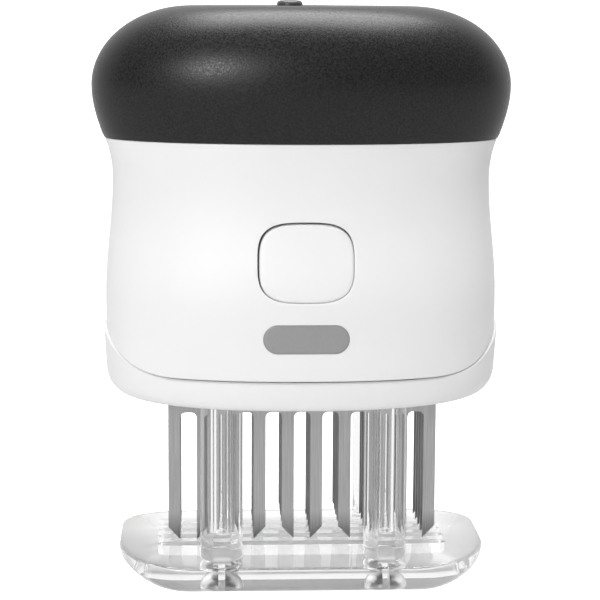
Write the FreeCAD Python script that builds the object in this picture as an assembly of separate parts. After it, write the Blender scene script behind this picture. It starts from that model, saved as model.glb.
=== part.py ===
"""Blade meat tenderizer: a hand press with five combs of steel blades and a clear sprung guard.

Millimetres. +Z is up, the guard's sole rests on Z = 0, X runs along the handle and the front faces -Y.
Five bodies: the base cup with its blade cartridge, the guard, the head with its grip, the release
button and the guard lock. Each piece is written to parts/NAME.step.
"""

import FreeCAD, Part
import math
import os

from FreeCAD import Vector

# ---- driving dimensions: the whole press ----
FIT = 0.05  # gap between pieces of one body that seat on each other
RUN = 0.35  # gap round pieces that slide
OVERCUT = 5.0  # how far a cutting shape reaches past the wall it opens
LOCK_STROKE = 6.4

# ---- body: lip, belly, waist and shoulder of the white housing ----
LIP_Z = 46.4
LIP_ROUND = 7.0  # height of the rounding under the belly
LIP_INSET_X = 6.1
LIP_INSET_Y = 2.3
BELLY_EDGE = 0.5  # plain band between the rounding and the seam
BELLY_RISE = 18.1  # each of these three heights is measured from the level below it
WAIST_RISE = 30.5
SHOULDER_RISE = 10.0
BELLY_X = 50.6
BELLY_Y = 31.2
WAIST_X = 48.7
WAIST_Y = 26.6
SHOULDER_X = 50.6
SHOULDER_Y = 26.2
BELLY_POWER = 2.3  # superellipse powers of the plan, 2 is an ellipse
SHOULDER_POWER = 2.15
HOUSING_WALL = 2.0
CUP_WALL = 3.0
SIDES = 64  # flat facets round the moulded bodies

# ---- seam between the upper shell and the base cup ----
EAR_RISE = 10.6
EAR_HALF_WIDTH = 26.0
EAR_FLARE = 0.65  # how far the cup's ears stand proud at their crown
SEAM_GAP = 0.3

# ---- grip ----
GRIP_EDGE_X = 50.9
GRIP_EDGE_Y = 26.5
GRIP_X = 53.9
GRIP_Y = 29.2
GRIP_SWELL = 13.3  # from the shoulder up to the widest level
GRIP_CROWN = 20.2  # from there to the flat top
GRIP_FLAT_X = 28.3
GRIP_FLAT_Y = 15.3

# ---- handle core inside the grip ----
DECK_THICK = 1.8  # the shell's top deck, clamped between the core and the spring plate
DECK_LEDGE_X = 3.0  # how far the core stands on the deck round its hole
DECK_LEDGE_Y = 4.0
CORE_X = 43.0
CORE_Y = 20.0
CORE_BEVEL_X = 16.0
CORE_BEVEL_Y = 9.5
CORE_COVER = 8.0  # soft cover over the core's roof
CORE_STEP_X = 7.0
CORE_STEP_Y = 6.0
CORE_STEP_Z = 7.0
CORE_WALL = 2.4
CORE_SCREW_INSET = 9.0
CORE_BOSS_R = 3.2
PLATE_THICK = 2.5

# ---- screws ----
SCREW_R = 1.3
SCREW_HEAD_R = 2.8
SCREW_HEAD_H = 1.8
CORE_SCREW_GRIP = 8.0
POST_SCREW_GRIP = 8.0
CARRIER_SCREW_GRIP = 3.0

# ---- blade cartridge ----
ROW_COUNT = 5
ROW_PITCH = 5.8
BLADE_COUNT = 10
BLADE_PITCH = 7.32
BLADE_WIDTH = 3.1
BLADE_THICK = 0.8
BLADE_TIP_Z = 8.9
CHISEL_RISE = 3.3
ARCH_DROP = 3.9  # underside of the comb's spine, below the lip
ARCH_BEVEL = 0.7
SPINE_RISE = 9.1  # top of the spine, above the lip
CARRIER_END = 3.5
CARRIER_WALL = 0.8
CARRIER_COVER = 1.0
CARRIER_TAB_OUT = 3.7
CARRIER_TAB_HALF = 11.0
CARRIER_TAB_END = 5.0
CARRIER_TAB_THICK = 2.0
CAP_THICK = 2.0
BAR_DROP = 5.0  # middle of a tie bar, below the spine's top
BAR_HALF = 1.1
FLOOR_THICK = 2.5
BUMPER_R = 2.5
BUMPER_H = 1.15
BUMPER_INSET = 3.8
BUMPER_GAP = 0.3

# ---- guard: sole plate, posts and crosshead ----
SOLE_X = 47.25
SOLE_Y = 28.5
SOLE_CORNER = 20.0
SOLE_TOP_Z = 8.2
SOLE_CROWN_R = 175.0
SOLE_FLAT_X = 30.0  # the underside is flat this far out, then sweeps up
SOLE_SWEEP_R = 29.0
SLOT_ROOM = 2.76
SLOT_WIDTH = 3.0
POST_X = 20.85
POST_ROOM = 1.1  # clear of the blade carrier
POST_R = 5.4
POST_BORE_R = 2.2
POST_FLOOR = 10.1  # solid between a post's pocket and its bore
POCKET_R = 5.5
POCKET_DEPTH = 3.4
POCKET_WEB = 1.8
RIB_WIDTH = 4.4
RIB_OUT = 6.1
RIB_ROOT_INSET = 0.3
RIB_ROOT_Z = 5.0
RIB_SWEEP_Z = 14.4
RIB_SWEEP_SAG = 0.6
STEM_R = 3.4
CROSSHEAD_THICK = 4.0
RAIL_WIDTH = 8.0
RAIL_OVERHANG = 2.5
BRIDGE_HALF_Y = 8.5

# ---- return springs ----
SPRING_X = 12.2
SPRING_R = 4.95  # to the middle of the wire
SPRING_WIRE = 1.1
SPRING_TURNS = 6
SPIGOT_R = 3.9
SPIGOT_H = 2.6

# ---- release button and its latch ----
BUTTON_RISE = 11.4  # middle of the button, above the belly's top
BUTTON_X = 11.8
BUTTON_H = 9.9
BUTTON_CORNER = 6.5
BUTTON_DEPTH = 5.8
BUTTON_HUB_X = 5.0
BUTTON_HUB_Z = 4.0
LATCH_GAP = 1.4
LATCH_THICK = 1.6
LATCH_HALF = 9.5
LATCH_RISE = 5.1  # foot of the latch, above the seam
LATCH_TOP = 9.1  # top of the latch, above the button's middle
HOOK_HALF = 4.0
HOOK_H = 2.8
CATCH_INSET = 2.5
CATCH_THICK = 1.5
CATCH_HALF = 7.0
CATCH_RISE = 7.0  # top of the catch, above the foot of the latch
BRACE_THICK = 1.4
BRACE_HALF = 15.0
BRACE_LEG = 1.6
BRACE_H = 6.5
BUTTON_SPRING_ROOM = 5.4
BUTTON_SPRING_R = 2.6
BUTTON_SPRING_WIRE = 0.6
BUTTON_SPRING_TURNS = 3

# ---- guard lock ----
LOCK_BAR_X = 2.2
LOCK_BAR_Y = 1.5
LOCK_BAR_FOOT = 1.5  # its lower end, above the crosshead's underside
LOCK_FLANGE_X = 5.0
LOCK_FLANGE_Y = 4.0
LOCK_FLANGE_THICK = 1.7
RECESS_DEPTH = 1.3
RECESS_ROOM = 0.9
KNOB_R = 3.3
KNOB_BEVEL = 1.0
KNOB_RISE = 1.5
KNOB_ROOF = 1.4
DETENT_THICK = 0.4
DETENT_BOW = 1.2

# ---- heights, from the lip upwards ----
floor_top = LIP_Z + FLOOR_THICK
seam_z = LIP_Z + LIP_ROUND + BELLY_EDGE
belly_top_z = seam_z + BELLY_RISE
waist_z = belly_top_z + WAIST_RISE
shoulder_z = waist_z + SHOULDER_RISE
deck_top = shoulder_z - FIT
deck_bottom = deck_top - DECK_THICK
plate_top = deck_bottom - FIT
plate_bottom = plate_top - PLATE_THICK
grip_widest_z = shoulder_z + GRIP_SWELL
grip_top_z = grip_widest_z + GRIP_CROWN
core_roof_z = grip_top_z - CORE_COVER
core_knee_z = core_roof_z - CORE_STEP_Z
arch_z = LIP_Z - ARCH_DROP
spine_top_z = LIP_Z + SPINE_RISE
bar_z = spine_top_z - BAR_DROP
carrier_top_z = spine_top_z + CARRIER_COVER
cap_top = carrier_top_z + CAP_THICK
bumper_top = cap_top + FIT + BUMPER_H
stem_top_z = bumper_top + BUMPER_GAP
crosshead_top = stem_top_z + CROSSHEAD_THICK
post_bore_z = POCKET_DEPTH + POST_FLOOR
button_z = belly_top_z + BUTTON_RISE
latch_bottom_z = seam_z + LATCH_RISE
latch_top_z = button_z + LATCH_TOP
catch_top_z = latch_bottom_z + CATCH_RISE
lock_bar_foot_z = stem_top_z + LOCK_BAR_FOOT
knob_top_z = grip_top_z + KNOB_RISE
lock_tang_top_z = knob_top_z - KNOB_ROOF
waist_step = WAIST_RISE / 4
belly_heights = [belly_top_z + waist_step * step for step in range(5)]
flare_heights = [(waist_z + deck_top) / 2, deck_top]

# ---- places in plan ----
row_ys = [ROW_PITCH * (row - (ROW_COUNT - 1) / 2) for row in range(ROW_COUNT)]
comb_half = (BLADE_COUNT - 1) / 2 * BLADE_PITCH + BLADE_WIDTH / 2
bar_x = (BLADE_COUNT / 2 - 1) * BLADE_PITCH
slot_half = comb_half + SLOT_ROOM
carrier_x = comb_half + CARRIER_END
carrier_half_y = (ROW_COUNT - 1) / 2 * ROW_PITCH + BLADE_THICK / 2 + CARRIER_WALL
tab_screw_x = carrier_x + SCREW_HEAD_R + 2 * FIT
carrier_tab_x = tab_screw_x + SCREW_HEAD_R
carrier_tab_y = carrier_half_y + CARRIER_TAB_OUT
bumper_y = carrier_half_y - BUMPER_INSET
post_y = carrier_half_y + POST_ROOM + POST_R
rib_front_y = post_y + RIB_OUT
rib_root_y = SOLE_Y - RIB_ROOT_INSET
corners = [(1, 1), (-1, 1), (-1, -1), (1, -1)]
post_places = [(POST_X * sx, post_y * sy) for sx, sy in corners]
core_screw_xs = [CORE_X - CORE_SCREW_INSET, CORE_SCREW_INSET - CORE_X]
button_back_y = BUTTON_DEPTH - BELLY_Y
latch_y = button_back_y + LATCH_GAP
latch_back_y = latch_y + LATCH_THICK
brace_y = latch_back_y + BUTTON_SPRING_ROOM
catch_y = CATCH_INSET - BELLY_Y
catch_back_y = catch_y + CATCH_THICK
lock_rest_x = -LOCK_STROKE / 2
recess_x = LOCK_STROKE / 2 + KNOB_R + RECESS_ROOM
recess_y = KNOB_R + RECESS_ROOM


# ---- plain shapes ----
def box(x0, x1, y0, y1, z0, z1):
    return Part.makeBox(x1 - x0, y1 - y0, z1 - z0, Vector(x0, y0, z0))


def cylinder(radius, x, y, z0, z1):
    return Part.makeCylinder(radius, z1 - z0, Vector(x, y, z0))


def fuse(pieces):
    whole = pieces[0]
    for piece in pieces[1:]:
        whole = whole.fuse(piece)
    return whole.removeSplitter()


def cut(body, tools):
    for tool in tools:
        body = body.cut(tool)
    return body


def superellipse(half_x, half_y, power):
    """The (x, y) corners of a many-sided plan outline; power 2 is an ellipse, higher is squarer."""
    spots = []
    for step in range(SIDES):
        angle = 2 * math.pi * step / SIDES
        c, s = math.cos(angle), math.sin(angle)
        x = half_x * math.copysign(abs(c) ** (2 / power), c)
        y = half_y * math.copysign(abs(s) ** (2 / power), s)
        spots.append((x, y))
    return spots


def ring(section):
    """The corners of a (z, half_x, half_y, power) plan section."""
    z, half_x, half_y, power = section
    return [Vector(x, y, z) for x, y in superellipse(half_x, half_y, power)]


def flat_face(spots):
    return Part.Face(Part.makePolygon(spots + [spots[0]]))


def band(lower, upper):
    """Flat facets from one ring to the next; a facet that would twist is split in two."""
    faces = []
    for here in range(len(lower)):
        after = (here + 1) % len(lower)
        a, b, c, d = lower[here], lower[after], upper[after], upper[here]
        twist = (b - a).cross(c - a).dot(d - a)
        if abs(twist) < 1e-7:
            faces.append(flat_face([a, b, c, d]))
        else:
            faces += [flat_face([a, b, c]), flat_face([a, c, d])]
    return faces


def skin(rings):
    faces = []
    for lower, upper in zip(rings, rings[1:]):
        faces += band(lower, upper)
    return faces


def sewn(faces):
    shell = Part.makeShell(faces)
    shell.sewShape()
    solid = Part.makeSolid(shell)
    if solid.Volume < 0:
        solid.reverse()
    return solid


def loft(sections):
    """A solid through plan sections, straight from each to the next."""
    rings = [ring(section) for section in sections]
    return sewn(skin(rings) + [flat_face(rings[0]), flat_face(rings[-1])])


def bevelled_prism(half_x, half_y, bevel_x, bevel_y, z0, z1):
    """An upright block with its four uprights bevelled off."""
    near_x, near_y = half_x - bevel_x, half_y - bevel_y
    quarter = [(half_x, near_y), (near_x, half_y)]
    spots = quarter + [(-x, y) for x, y in reversed(quarter)]
    spots += [(-x, -y) for x, y in spots]
    return flat_face([Vector(x, y, z0) for x, y in spots]).extrude(Vector(0, 0, z1 - z0))


def rounded_prism(half_x, half_y, corner, z0, z1):
    slab = box(-half_x, half_x, -half_y, half_y, z0, z1)
    uprights = [e for e in slab.Edges if abs(e.tangentAt(e.FirstParameter).z) > 0.9]
    return slab.makeFillet(corner, uprights)


def facet_prism(radius, x, y, z0, z1, sides=6):
    """An upright bar of regular section, radius measured to its edges."""
    turns = [2 * math.pi * step / sides for step in range(sides)]
    spots = [Vector(x + radius * math.cos(t), y + radius * math.sin(t), z0) for t in turns]
    return flat_face(spots).extrude(Vector(0, 0, z1 - z0))


def stadium(half_length, half_width, x, y, z0, z1):
    """An upright slot-shaped prism, long along X."""
    reach = half_length - half_width
    slab = box(x - reach, x + reach, y - half_width, y + half_width, z0, z1)
    ends = [cylinder(half_width, x + side * reach, y, z0, z1) for side in (1, -1)]
    return fuse([slab] + ends)


def coil(radius, wire, turns, length, steps=10):
    """A compression coil of square wire about +Z, from z = 0 to length, with flat facets."""
    half = wire / 2
    rings = []
    for step in range(turns * steps + 1):
        angle = 2 * math.pi * step / steps
        z = half + (length - wire) * step / (turns * steps)
        ring = []
        for dr, dz in ((-half, -half), (half, -half), (half, half), (-half, half)):
            r = radius + dr
            ring.append(Vector(r * math.cos(angle), r * math.sin(angle), z + dz))
        rings.append(ring)
    faces = [flat_face(rings[0]), flat_face(rings[-1])]
    for low, high in zip(rings, rings[1:]):
        for side in range(4):
            after = (side + 1) % 4
            faces.append(flat_face([low[side], low[after], high[after]]))
            faces.append(flat_face([low[side], high[after], high[side]]))
    return Part.makeSolid(Part.makeShell(faces))


def screw(x, y, seat_z, grip, up=False):
    """A hexagon-head screw seated at seat_z; its shank runs away from the head."""
    side = 1 if up else -1
    head = sorted((seat_z, seat_z - side * SCREW_HEAD_H))
    shank = sorted((seat_z, seat_z + side * grip))
    return fuse([facet_prism(SCREW_HEAD_R, x, y, *head), facet_prism(SCREW_R, x, y, *shank)])


def screw_hole(x, y, z0, z1):
    return facet_prism(SCREW_R + FIT, x, y, z0, z1)


# ---- the housing's outer form ----
def ease(share):
    return (1 - math.cos(math.pi * min(max(share, 0), 1))) / 2


def body_section(z, inset=0.0):
    """The housing's plan at height z: rounded lip, upright belly, narrow waist, flared shoulder."""
    low = min(max((LIP_Z + LIP_ROUND - z) / LIP_ROUND, 0), 1)
    pull = 1 - math.sqrt(1 - low * low)
    rise = ease((z - belly_top_z) / (waist_z - belly_top_z))
    flare = (max(z - waist_z, 0) / (shoulder_z - waist_z)) ** 2
    half_x = BELLY_X - LIP_INSET_X * pull
    half_x += (WAIST_X - BELLY_X) * rise + (SHOULDER_X - WAIST_X) * flare
    half_y = BELLY_Y - LIP_INSET_Y * pull
    half_y += (WAIST_Y - BELLY_Y) * rise + (SHOULDER_Y - WAIST_Y) * flare
    power = BELLY_POWER + (SHOULDER_POWER - BELLY_POWER) * rise
    return (z, half_x - inset, half_y - inset, power)


def between(z0, z1, count):
    return [z0 + (z1 - z0) * step / count for step in range(count + 1)]


def seam_curve_z(y):
    if abs(y) >= EAR_HALF_WIDTH:
        return seam_z
    return seam_z + EAR_RISE * math.cos(math.pi / 2 * y / EAR_HALF_WIDTH) ** 2


def seam_ring(inset, shift, flare=0.0):
    """The corners of the seam round the belly, moved up by shift, with its ears flared out."""
    spots = []
    for x, y in superellipse(BELLY_X - inset, BELLY_Y - inset, BELLY_POWER):
        z = seam_curve_z(y)
        widen = 1 + flare / BELLY_X * ease((z - seam_z) / EAR_RISE)
        spots.append(Vector(x * widen, y, z + shift))
    return spots


# ---- head: upper shell, grip, core ----
def button_prism(grow, y0, y1):
    """The button's rounded outline, grown by grow, as a prism along Y."""
    prism = rounded_prism(BUTTON_X + grow, BUTTON_H + grow, BUTTON_CORNER + grow, 0, y1 - y0)
    prism.rotate(Vector(0, 0, 0), Vector(1, 0, 0), -90)
    prism.translate(Vector(0, y0, button_z))
    return prism


def front_form():
    """The housing's outer form over the height of the button."""
    return loft([body_section(z) for z in belly_heights])


def shell_cavity(inset, top):
    """Plan sections of the room inside the housing, above the belly."""
    kinks = [z for z in belly_heights if z < top]
    return [body_section(z, inset) for z in kinks + [top]]


def upper_shell():
    outer = [seam_ring(0, SEAM_GAP)]
    outer += [ring(body_section(z)) for z in belly_heights + flare_heights]
    inner = [seam_ring(HOUSING_WALL, SEAM_GAP)]
    inner += [ring(section) for section in shell_cavity(HOUSING_WALL, deck_bottom)]
    faces = skin(outer) + skin(inner) + skin([outer[0], inner[0]])
    form = sewn(faces + [flat_face(outer[-1]), flat_face(inner[-1])])
    hole = core_prism(DECK_LEDGE_X, DECK_LEDGE_Y, deck_bottom - 1, deck_top + 1)
    return cut(form, [hole, button_prism(RUN, -BELLY_Y - OVERCUT, button_back_y + OVERCUT)])


def core_prism(inset_x, inset_y, z0, z1):
    """An upright block with the handle core's plan, drawn in by the insets."""
    half_x, half_y = CORE_X - inset_x, CORE_Y - inset_y
    bevel_x, bevel_y = CORE_BEVEL_X - inset_x / 2, CORE_BEVEL_Y - inset_y / 2
    return bevelled_prism(half_x, half_y, bevel_x, bevel_y, z0, z1)


def core_form(inset, floor):
    """The handle core's stepped outer form, drawn in by inset."""
    foot = core_prism(inset, inset, floor, core_knee_z - inset)
    roof = core_prism(CORE_STEP_X + inset, CORE_STEP_Y + inset, floor, core_roof_z - inset)
    return fuse([foot, roof])


def lock_slot(z0, z1):
    reach_x = LOCK_STROKE / 2 + LOCK_BAR_X + RUN
    reach_y = LOCK_BAR_Y + RUN
    return box(-reach_x, reach_x, -reach_y, reach_y, z0, z1)


def handle_core():
    shell = core_form(0, shoulder_z).cut(core_form(CORE_WALL, shoulder_z - 1))
    bosses = [
        facet_prism(CORE_BOSS_R, x, 0, plate_top + FIT, core_knee_z - CORE_WALL / 2, 8)
        for x in core_screw_xs
    ]
    holes = [
        screw_hole(x, 0, plate_top, plate_bottom + CORE_SCREW_GRIP + 1) for x in core_screw_xs
    ]
    slot = lock_slot(core_roof_z - 2 * CORE_WALL, core_roof_z + 1)
    return cut(fuse([shell] + bosses), holes + [slot])


def grip_cover():
    sections = []
    for share in (0.0, 0.5):
        grown = math.sin(math.pi / 2 * share)
        z = shoulder_z + GRIP_SWELL * share
        half_x = GRIP_EDGE_X + (GRIP_X - GRIP_EDGE_X) * grown
        half_y = GRIP_EDGE_Y + (GRIP_Y - GRIP_EDGE_Y) * grown
        sections.append((z, half_x, half_y, SHOULDER_POWER))
    for degrees in (0, 15, 30, 45, 60, 75, 90):
        up = math.radians(degrees)
        z = grip_widest_z + GRIP_CROWN * math.sin(up)
        half_x = GRIP_FLAT_X + (GRIP_X - GRIP_FLAT_X) * math.cos(up)
        half_y = GRIP_FLAT_Y + (GRIP_Y - GRIP_FLAT_Y) * math.cos(up)
        sections.append((z, half_x, half_y, SHOULDER_POWER))
    cover = loft(sections)
    socket = core_form(-FIT, shoulder_z - 1)
    reach_x = LOCK_STROKE / 2 + LOCK_FLANGE_X + RUN
    reach_y = LOCK_FLANGE_Y + RUN
    pocket_top = core_roof_z + LOCK_FLANGE_THICK + 2 * RUN
    back_y = reach_y + DETENT_BOW + DETENT_THICK + FIT
    pocket = box(-reach_x, reach_x, -reach_y, back_y, core_roof_z - 1, pocket_top)
    recess = stadium(recess_x, recess_y, 0, 0, grip_top_z - RECESS_DEPTH, grip_top_z + 1)
    return cut(cover, [socket, pocket, lock_slot(core_roof_z, grip_top_z), recess])


def spring_plate():
    """The plate that closes the core from below; the return springs push against its spigots."""
    plate = core_prism(0, 0, plate_bottom, plate_top)
    spigots = [spigot(side, plate_bottom - SPIGOT_H, plate_bottom) for side in (1, -1)]
    holes = [screw_hole(x, 0, plate_bottom - 1, plate_top + 1) for x in core_screw_xs]
    return cut(fuse([plate] + spigots), holes + [lock_slot(plate_bottom - 1, plate_top + 1)])


def spigot(side, z0, z1):
    return facet_prism(SPIGOT_R, side * SPRING_X, 0, z0, z1, 12)


def core_screws():
    return [screw(x, 0, plate_bottom - FIT, CORE_SCREW_GRIP, True) for x in core_screw_xs]


def lock_detent():
    """A bowed leaf beside the lock's flange."""
    reach = LOCK_FLANGE_X + LOCK_STROKE / 2
    back = LOCK_FLANGE_Y + RUN + DETENT_BOW + DETENT_THICK
    z0 = core_roof_z + FIT
    inner = Part.Arc(
        Vector(-reach, back - DETENT_THICK, z0),
        Vector(0, back - DETENT_THICK - DETENT_BOW / 2, z0),
        Vector(reach, back - DETENT_THICK, z0),
    ).toShape()
    outer = Part.Arc(
        Vector(-reach, back, z0), Vector(0, back - DETENT_BOW / 2, z0), Vector(reach, back, z0)
    ).toShape()
    ends = [
        Part.makeLine(Vector(side * reach, back - DETENT_THICK, z0), Vector(side * reach, back, z0))
        for side in (-1, 1)
    ]
    outline = Part.Wire(Part.__sortEdges__([inner, outer] + ends))
    return Part.Face(outline).extrude(Vector(0, 0, LOCK_FLANGE_THICK))


# ---- guard lock ----
def lock_bar():
    x = lock_rest_x
    flange_z = core_roof_z + RUN
    stem = box(
        x - LOCK_BAR_X, x + LOCK_BAR_X, -LOCK_BAR_Y, LOCK_BAR_Y, lock_bar_foot_z, lock_tang_top_z
    )
    flange = box(
        x - LOCK_FLANGE_X,
        x + LOCK_FLANGE_X,
        -LOCK_FLANGE_Y,
        LOCK_FLANGE_Y,
        flange_z,
        flange_z + LOCK_FLANGE_THICK,
    )
    return fuse([stem, flange])


def lock_knob(bar):
    foot = grip_top_z - RECESS_DEPTH + RUN
    edge = knob_top_z - KNOB_BEVEL
    drum = cylinder(KNOB_R, lock_rest_x, 0, foot, edge)
    bevel = Part.makeCone(KNOB_R, KNOB_R - KNOB_BEVEL, KNOB_BEVEL, Vector(lock_rest_x, 0, edge))
    return fuse([drum, bevel]).cut(bar)


# ---- release button ----
def release_button(form):
    """The push button; its face is cut from the housing's own outer form, so it sits flush."""
    cap = form.common(button_prism(0, -BELLY_Y - OVERCUT, button_back_y))
    low, high = button_z - BUTTON_HUB_Z, button_z + BUTTON_HUB_Z
    hub = box(-BUTTON_HUB_X, BUTTON_HUB_X, button_back_y, latch_y - FIT, low, high)
    return fuse([cap, hub])


def latch_slide():
    """The plate behind the button, with the hook that holds the head down on the base cup."""
    plate = box(-LATCH_HALF, LATCH_HALF, latch_y, latch_back_y, latch_bottom_z, latch_top_z)
    nose = catch_back_y + RUN
    hook = box(-HOOK_HALF, HOOK_HALF, nose, latch_y, latch_bottom_z, latch_bottom_z + HOOK_H)
    return fuse([plate, hook])


def button_brace(cavity):
    """The bridge inside the shell that the button springs push against."""
    z0, z1 = button_z - BRACE_H, button_z + BRACE_H
    web = box(-BRACE_HALF, BRACE_HALF, brace_y, brace_y + BRACE_THICK, z0, z1)
    legs = []
    for side in (1, -1):
        outer, inner = side * BRACE_HALF, side * (BRACE_HALF - BRACE_LEG)
        legs.append(box(min(outer, inner), max(outer, inner), -BELLY_Y, brace_y, z0, z1))
    return fuse([web] + legs).common(cavity)


def button_spring():
    back = latch_back_y + FIT
    length = brace_y - FIT - back
    spring = coil(BUTTON_SPRING_R, BUTTON_SPRING_WIRE, BUTTON_SPRING_TURNS, length)
    spring.rotate(Vector(0, 0, 0), Vector(1, 0, 0), -90)
    spring.translate(Vector(0, back, button_z))
    return spring


# ---- base: cup and blade cartridge ----
def post_hole(x, y):
    """The guide hole for one post, with the keyway for its rib."""
    side = 1 if y > 0 else -1
    radius = POST_R + RUN
    half = RIB_WIDTH / 2 + RUN
    edge = side * (rib_front_y + RUN)
    hole = cylinder(radius, x, y, LIP_Z - 1, floor_top + 1)
    key = box(x - half, x + half, min(y, edge), max(y, edge), LIP_Z - 1, floor_top + 1)
    return fuse([hole, key])


def base_cup():
    """The lower cup: a floor with the cartridge window and post holes, ears, and the latch catch."""
    turns = [math.radians(degrees) for degrees in (0, 30, 50, 70, 90)]
    outer = [ring(body_section(LIP_Z + LIP_ROUND * (1 - math.cos(turn)))) for turn in turns]
    outer.append(seam_ring(0, 0, EAR_FLARE))
    room = (floor_top, BELLY_X - CUP_WALL, BELLY_Y - CUP_WALL, BELLY_POWER)
    inner = [ring(room), seam_ring(CUP_WALL, 0)]
    faces = skin(outer) + skin(inner) + skin([outer[-1], inner[-1]])
    cup = sewn(faces + [flat_face(outer[0]), flat_face(inner[0])])
    window_x, window_y = carrier_x + FIT, carrier_half_y + FIT
    window = box(-window_x, window_x, -window_y, window_y, LIP_Z - 1, floor_top + 1)
    catch = box(-CATCH_HALF, CATCH_HALF, catch_y, catch_back_y, floor_top - 0.5, catch_top_z)
    wall_y = CUP_WALL - BELLY_Y
    foot = box(-CATCH_HALF, CATCH_HALF, wall_y - 0.5, catch_y + 0.5, floor_top - 0.5, seam_z - 1)
    gap_x = HOOK_HALF + RUN
    gap_z = latch_bottom_z - RUN
    gap = box(-gap_x, gap_x, catch_y - 1, catch_back_y + 1, gap_z, gap_z + HOOK_H + 2 * RUN)
    holes = [post_hole(x, y) for x, y in post_places]
    holes += [screw_hole(side * tab_screw_x, 0, LIP_Z + 1, floor_top + 1) for side in (1, -1)]
    return fuse([cut(cup, [window] + holes), foot, catch.cut(gap)])


def comb_outline():
    """One comb: a spine with blades whose chisel tips point alternately right and left."""
    edges = []
    spot = Vector(-comb_half, 0, spine_top_z)

    def line_to(x, z):
        nonlocal spot
        target = Vector(x, 0, z)
        edges.append(Part.makeLine(spot, target))
        spot = target

    line_to(comb_half, spine_top_z)
    for blade in reversed(range(BLADE_COUNT)):
        middle = (blade - (BLADE_COUNT - 1) / 2) * BLADE_PITCH
        right, left = middle + BLADE_WIDTH / 2, middle - BLADE_WIDTH / 2
        tip_on_right = blade % 2 == 0
        line_to(right, BLADE_TIP_Z + (0 if tip_on_right else CHISEL_RISE))
        line_to(left, BLADE_TIP_Z + (CHISEL_RISE if tip_on_right else 0))
        if blade:
            next_right = right - BLADE_PITCH
            line_to(left, arch_z - ARCH_BEVEL)
            line_to(left - ARCH_BEVEL, arch_z)
            line_to(next_right + ARCH_BEVEL, arch_z)
            line_to(next_right, arch_z - ARCH_BEVEL)
    line_to(-comb_half, spine_top_z)
    return Part.Face(Part.Wire(edges))


def blade_comb(outline, y):
    comb = outline.extrude(Vector(0, BLADE_THICK, 0))
    comb.translate(Vector(0, y - BLADE_THICK / 2, 0))
    return cut(comb, [tie_bar(side, FIT, y - 2, y + 2) for side in (1, -1)])


def tie_bar(side, grow, y0, y1):
    half = BAR_HALF + grow
    x = side * bar_x
    return box(x - half, x + half, y0, y1, bar_z - half, bar_z + half)


def tie_bars():
    reach = carrier_half_y - FIT
    return [tie_bar(side, 0, -reach, reach) for side in (1, -1)]


def blade_carrier():
    """The moulded block that holds the combs, let into the cup's floor on four tabs."""
    block = box(-carrier_x, carrier_x, -carrier_half_y, carrier_half_y, LIP_Z, carrier_top_z)
    low, high = floor_top + FIT, floor_top + FIT + CARRIER_TAB_THICK
    end_tabs = box(-carrier_tab_x, carrier_tab_x, -CARRIER_TAB_END, CARRIER_TAB_END, low, high)
    side_tabs = box(-CARRIER_TAB_HALF, CARRIER_TAB_HALF, -carrier_tab_y, carrier_tab_y, low, high)
    half = BLADE_THICK / 2 + FIT
    reach = comb_half + FIT
    tools = [box(-reach, reach, y - half, y + half, LIP_Z - 1, carrier_top_z + 1) for y in row_ys]
    for side in (1, -1):
        tools.append(tie_bar(side, FIT, -carrier_half_y - 1, carrier_half_y + 1))
        tools.append(screw_hole(side * tab_screw_x, 0, low - 1, high + 1))
    return cut(fuse([block, end_tabs, side_tabs]), tools)


def carrier_cap():
    z0 = carrier_top_z + FIT
    return box(-carrier_x, carrier_x, -carrier_half_y, carrier_half_y, z0, cap_top)


def carrier_screws():
    seat = floor_top + 2 * FIT + CARRIER_TAB_THICK
    return [screw(side * tab_screw_x, 0, seat, CARRIER_SCREW_GRIP) for side in (1, -1)]


def bump_stops():
    return [
        facet_prism(BUMPER_R, POST_X * sx, bumper_y * sy, cap_top + FIT, bumper_top)
        for sx, sy in corners
    ]


def return_springs():
    springs = []
    for side in (1, -1):
        length = plate_bottom - FIT - crosshead_top - FIT
        spring = coil(SPRING_R, SPRING_WIRE, SPRING_TURNS, length)
        spring.translate(Vector(side * SPRING_X, 0, crosshead_top + FIT))
        springs.append(spring)
    return springs


# ---- guard ----
def sole_plate():
    """The clear sole: rounded plan, crowned top, and an underside that sweeps up at both ends."""
    slab = rounded_prism(SOLE_X, SOLE_Y, SOLE_CORNER, 0, SOLE_TOP_Z)
    reach = SOLE_Y + 1
    drop = SOLE_CROWN_R - math.sqrt(SOLE_CROWN_R**2 - reach**2)
    left = -SOLE_X - 1
    crown = Part.Arc(
        Vector(left, -reach, SOLE_TOP_Z - drop),
        Vector(left, 0, SOLE_TOP_Z),
        Vector(left, reach, SOLE_TOP_Z - drop),
    ).toShape()
    sides = Part.makePolygon(
        [
            Vector(left, reach, SOLE_TOP_Z - drop),
            Vector(left, reach, -1),
            Vector(left, -reach, -1),
            Vector(left, -reach, SOLE_TOP_Z - drop),
        ]
    )
    crowned = Part.Face(Part.Wire([crown] + sides.Edges)).extrude(Vector(-2 * left, 0, 0))
    return slab.common(crowned).common(sole_sweep())


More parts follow.
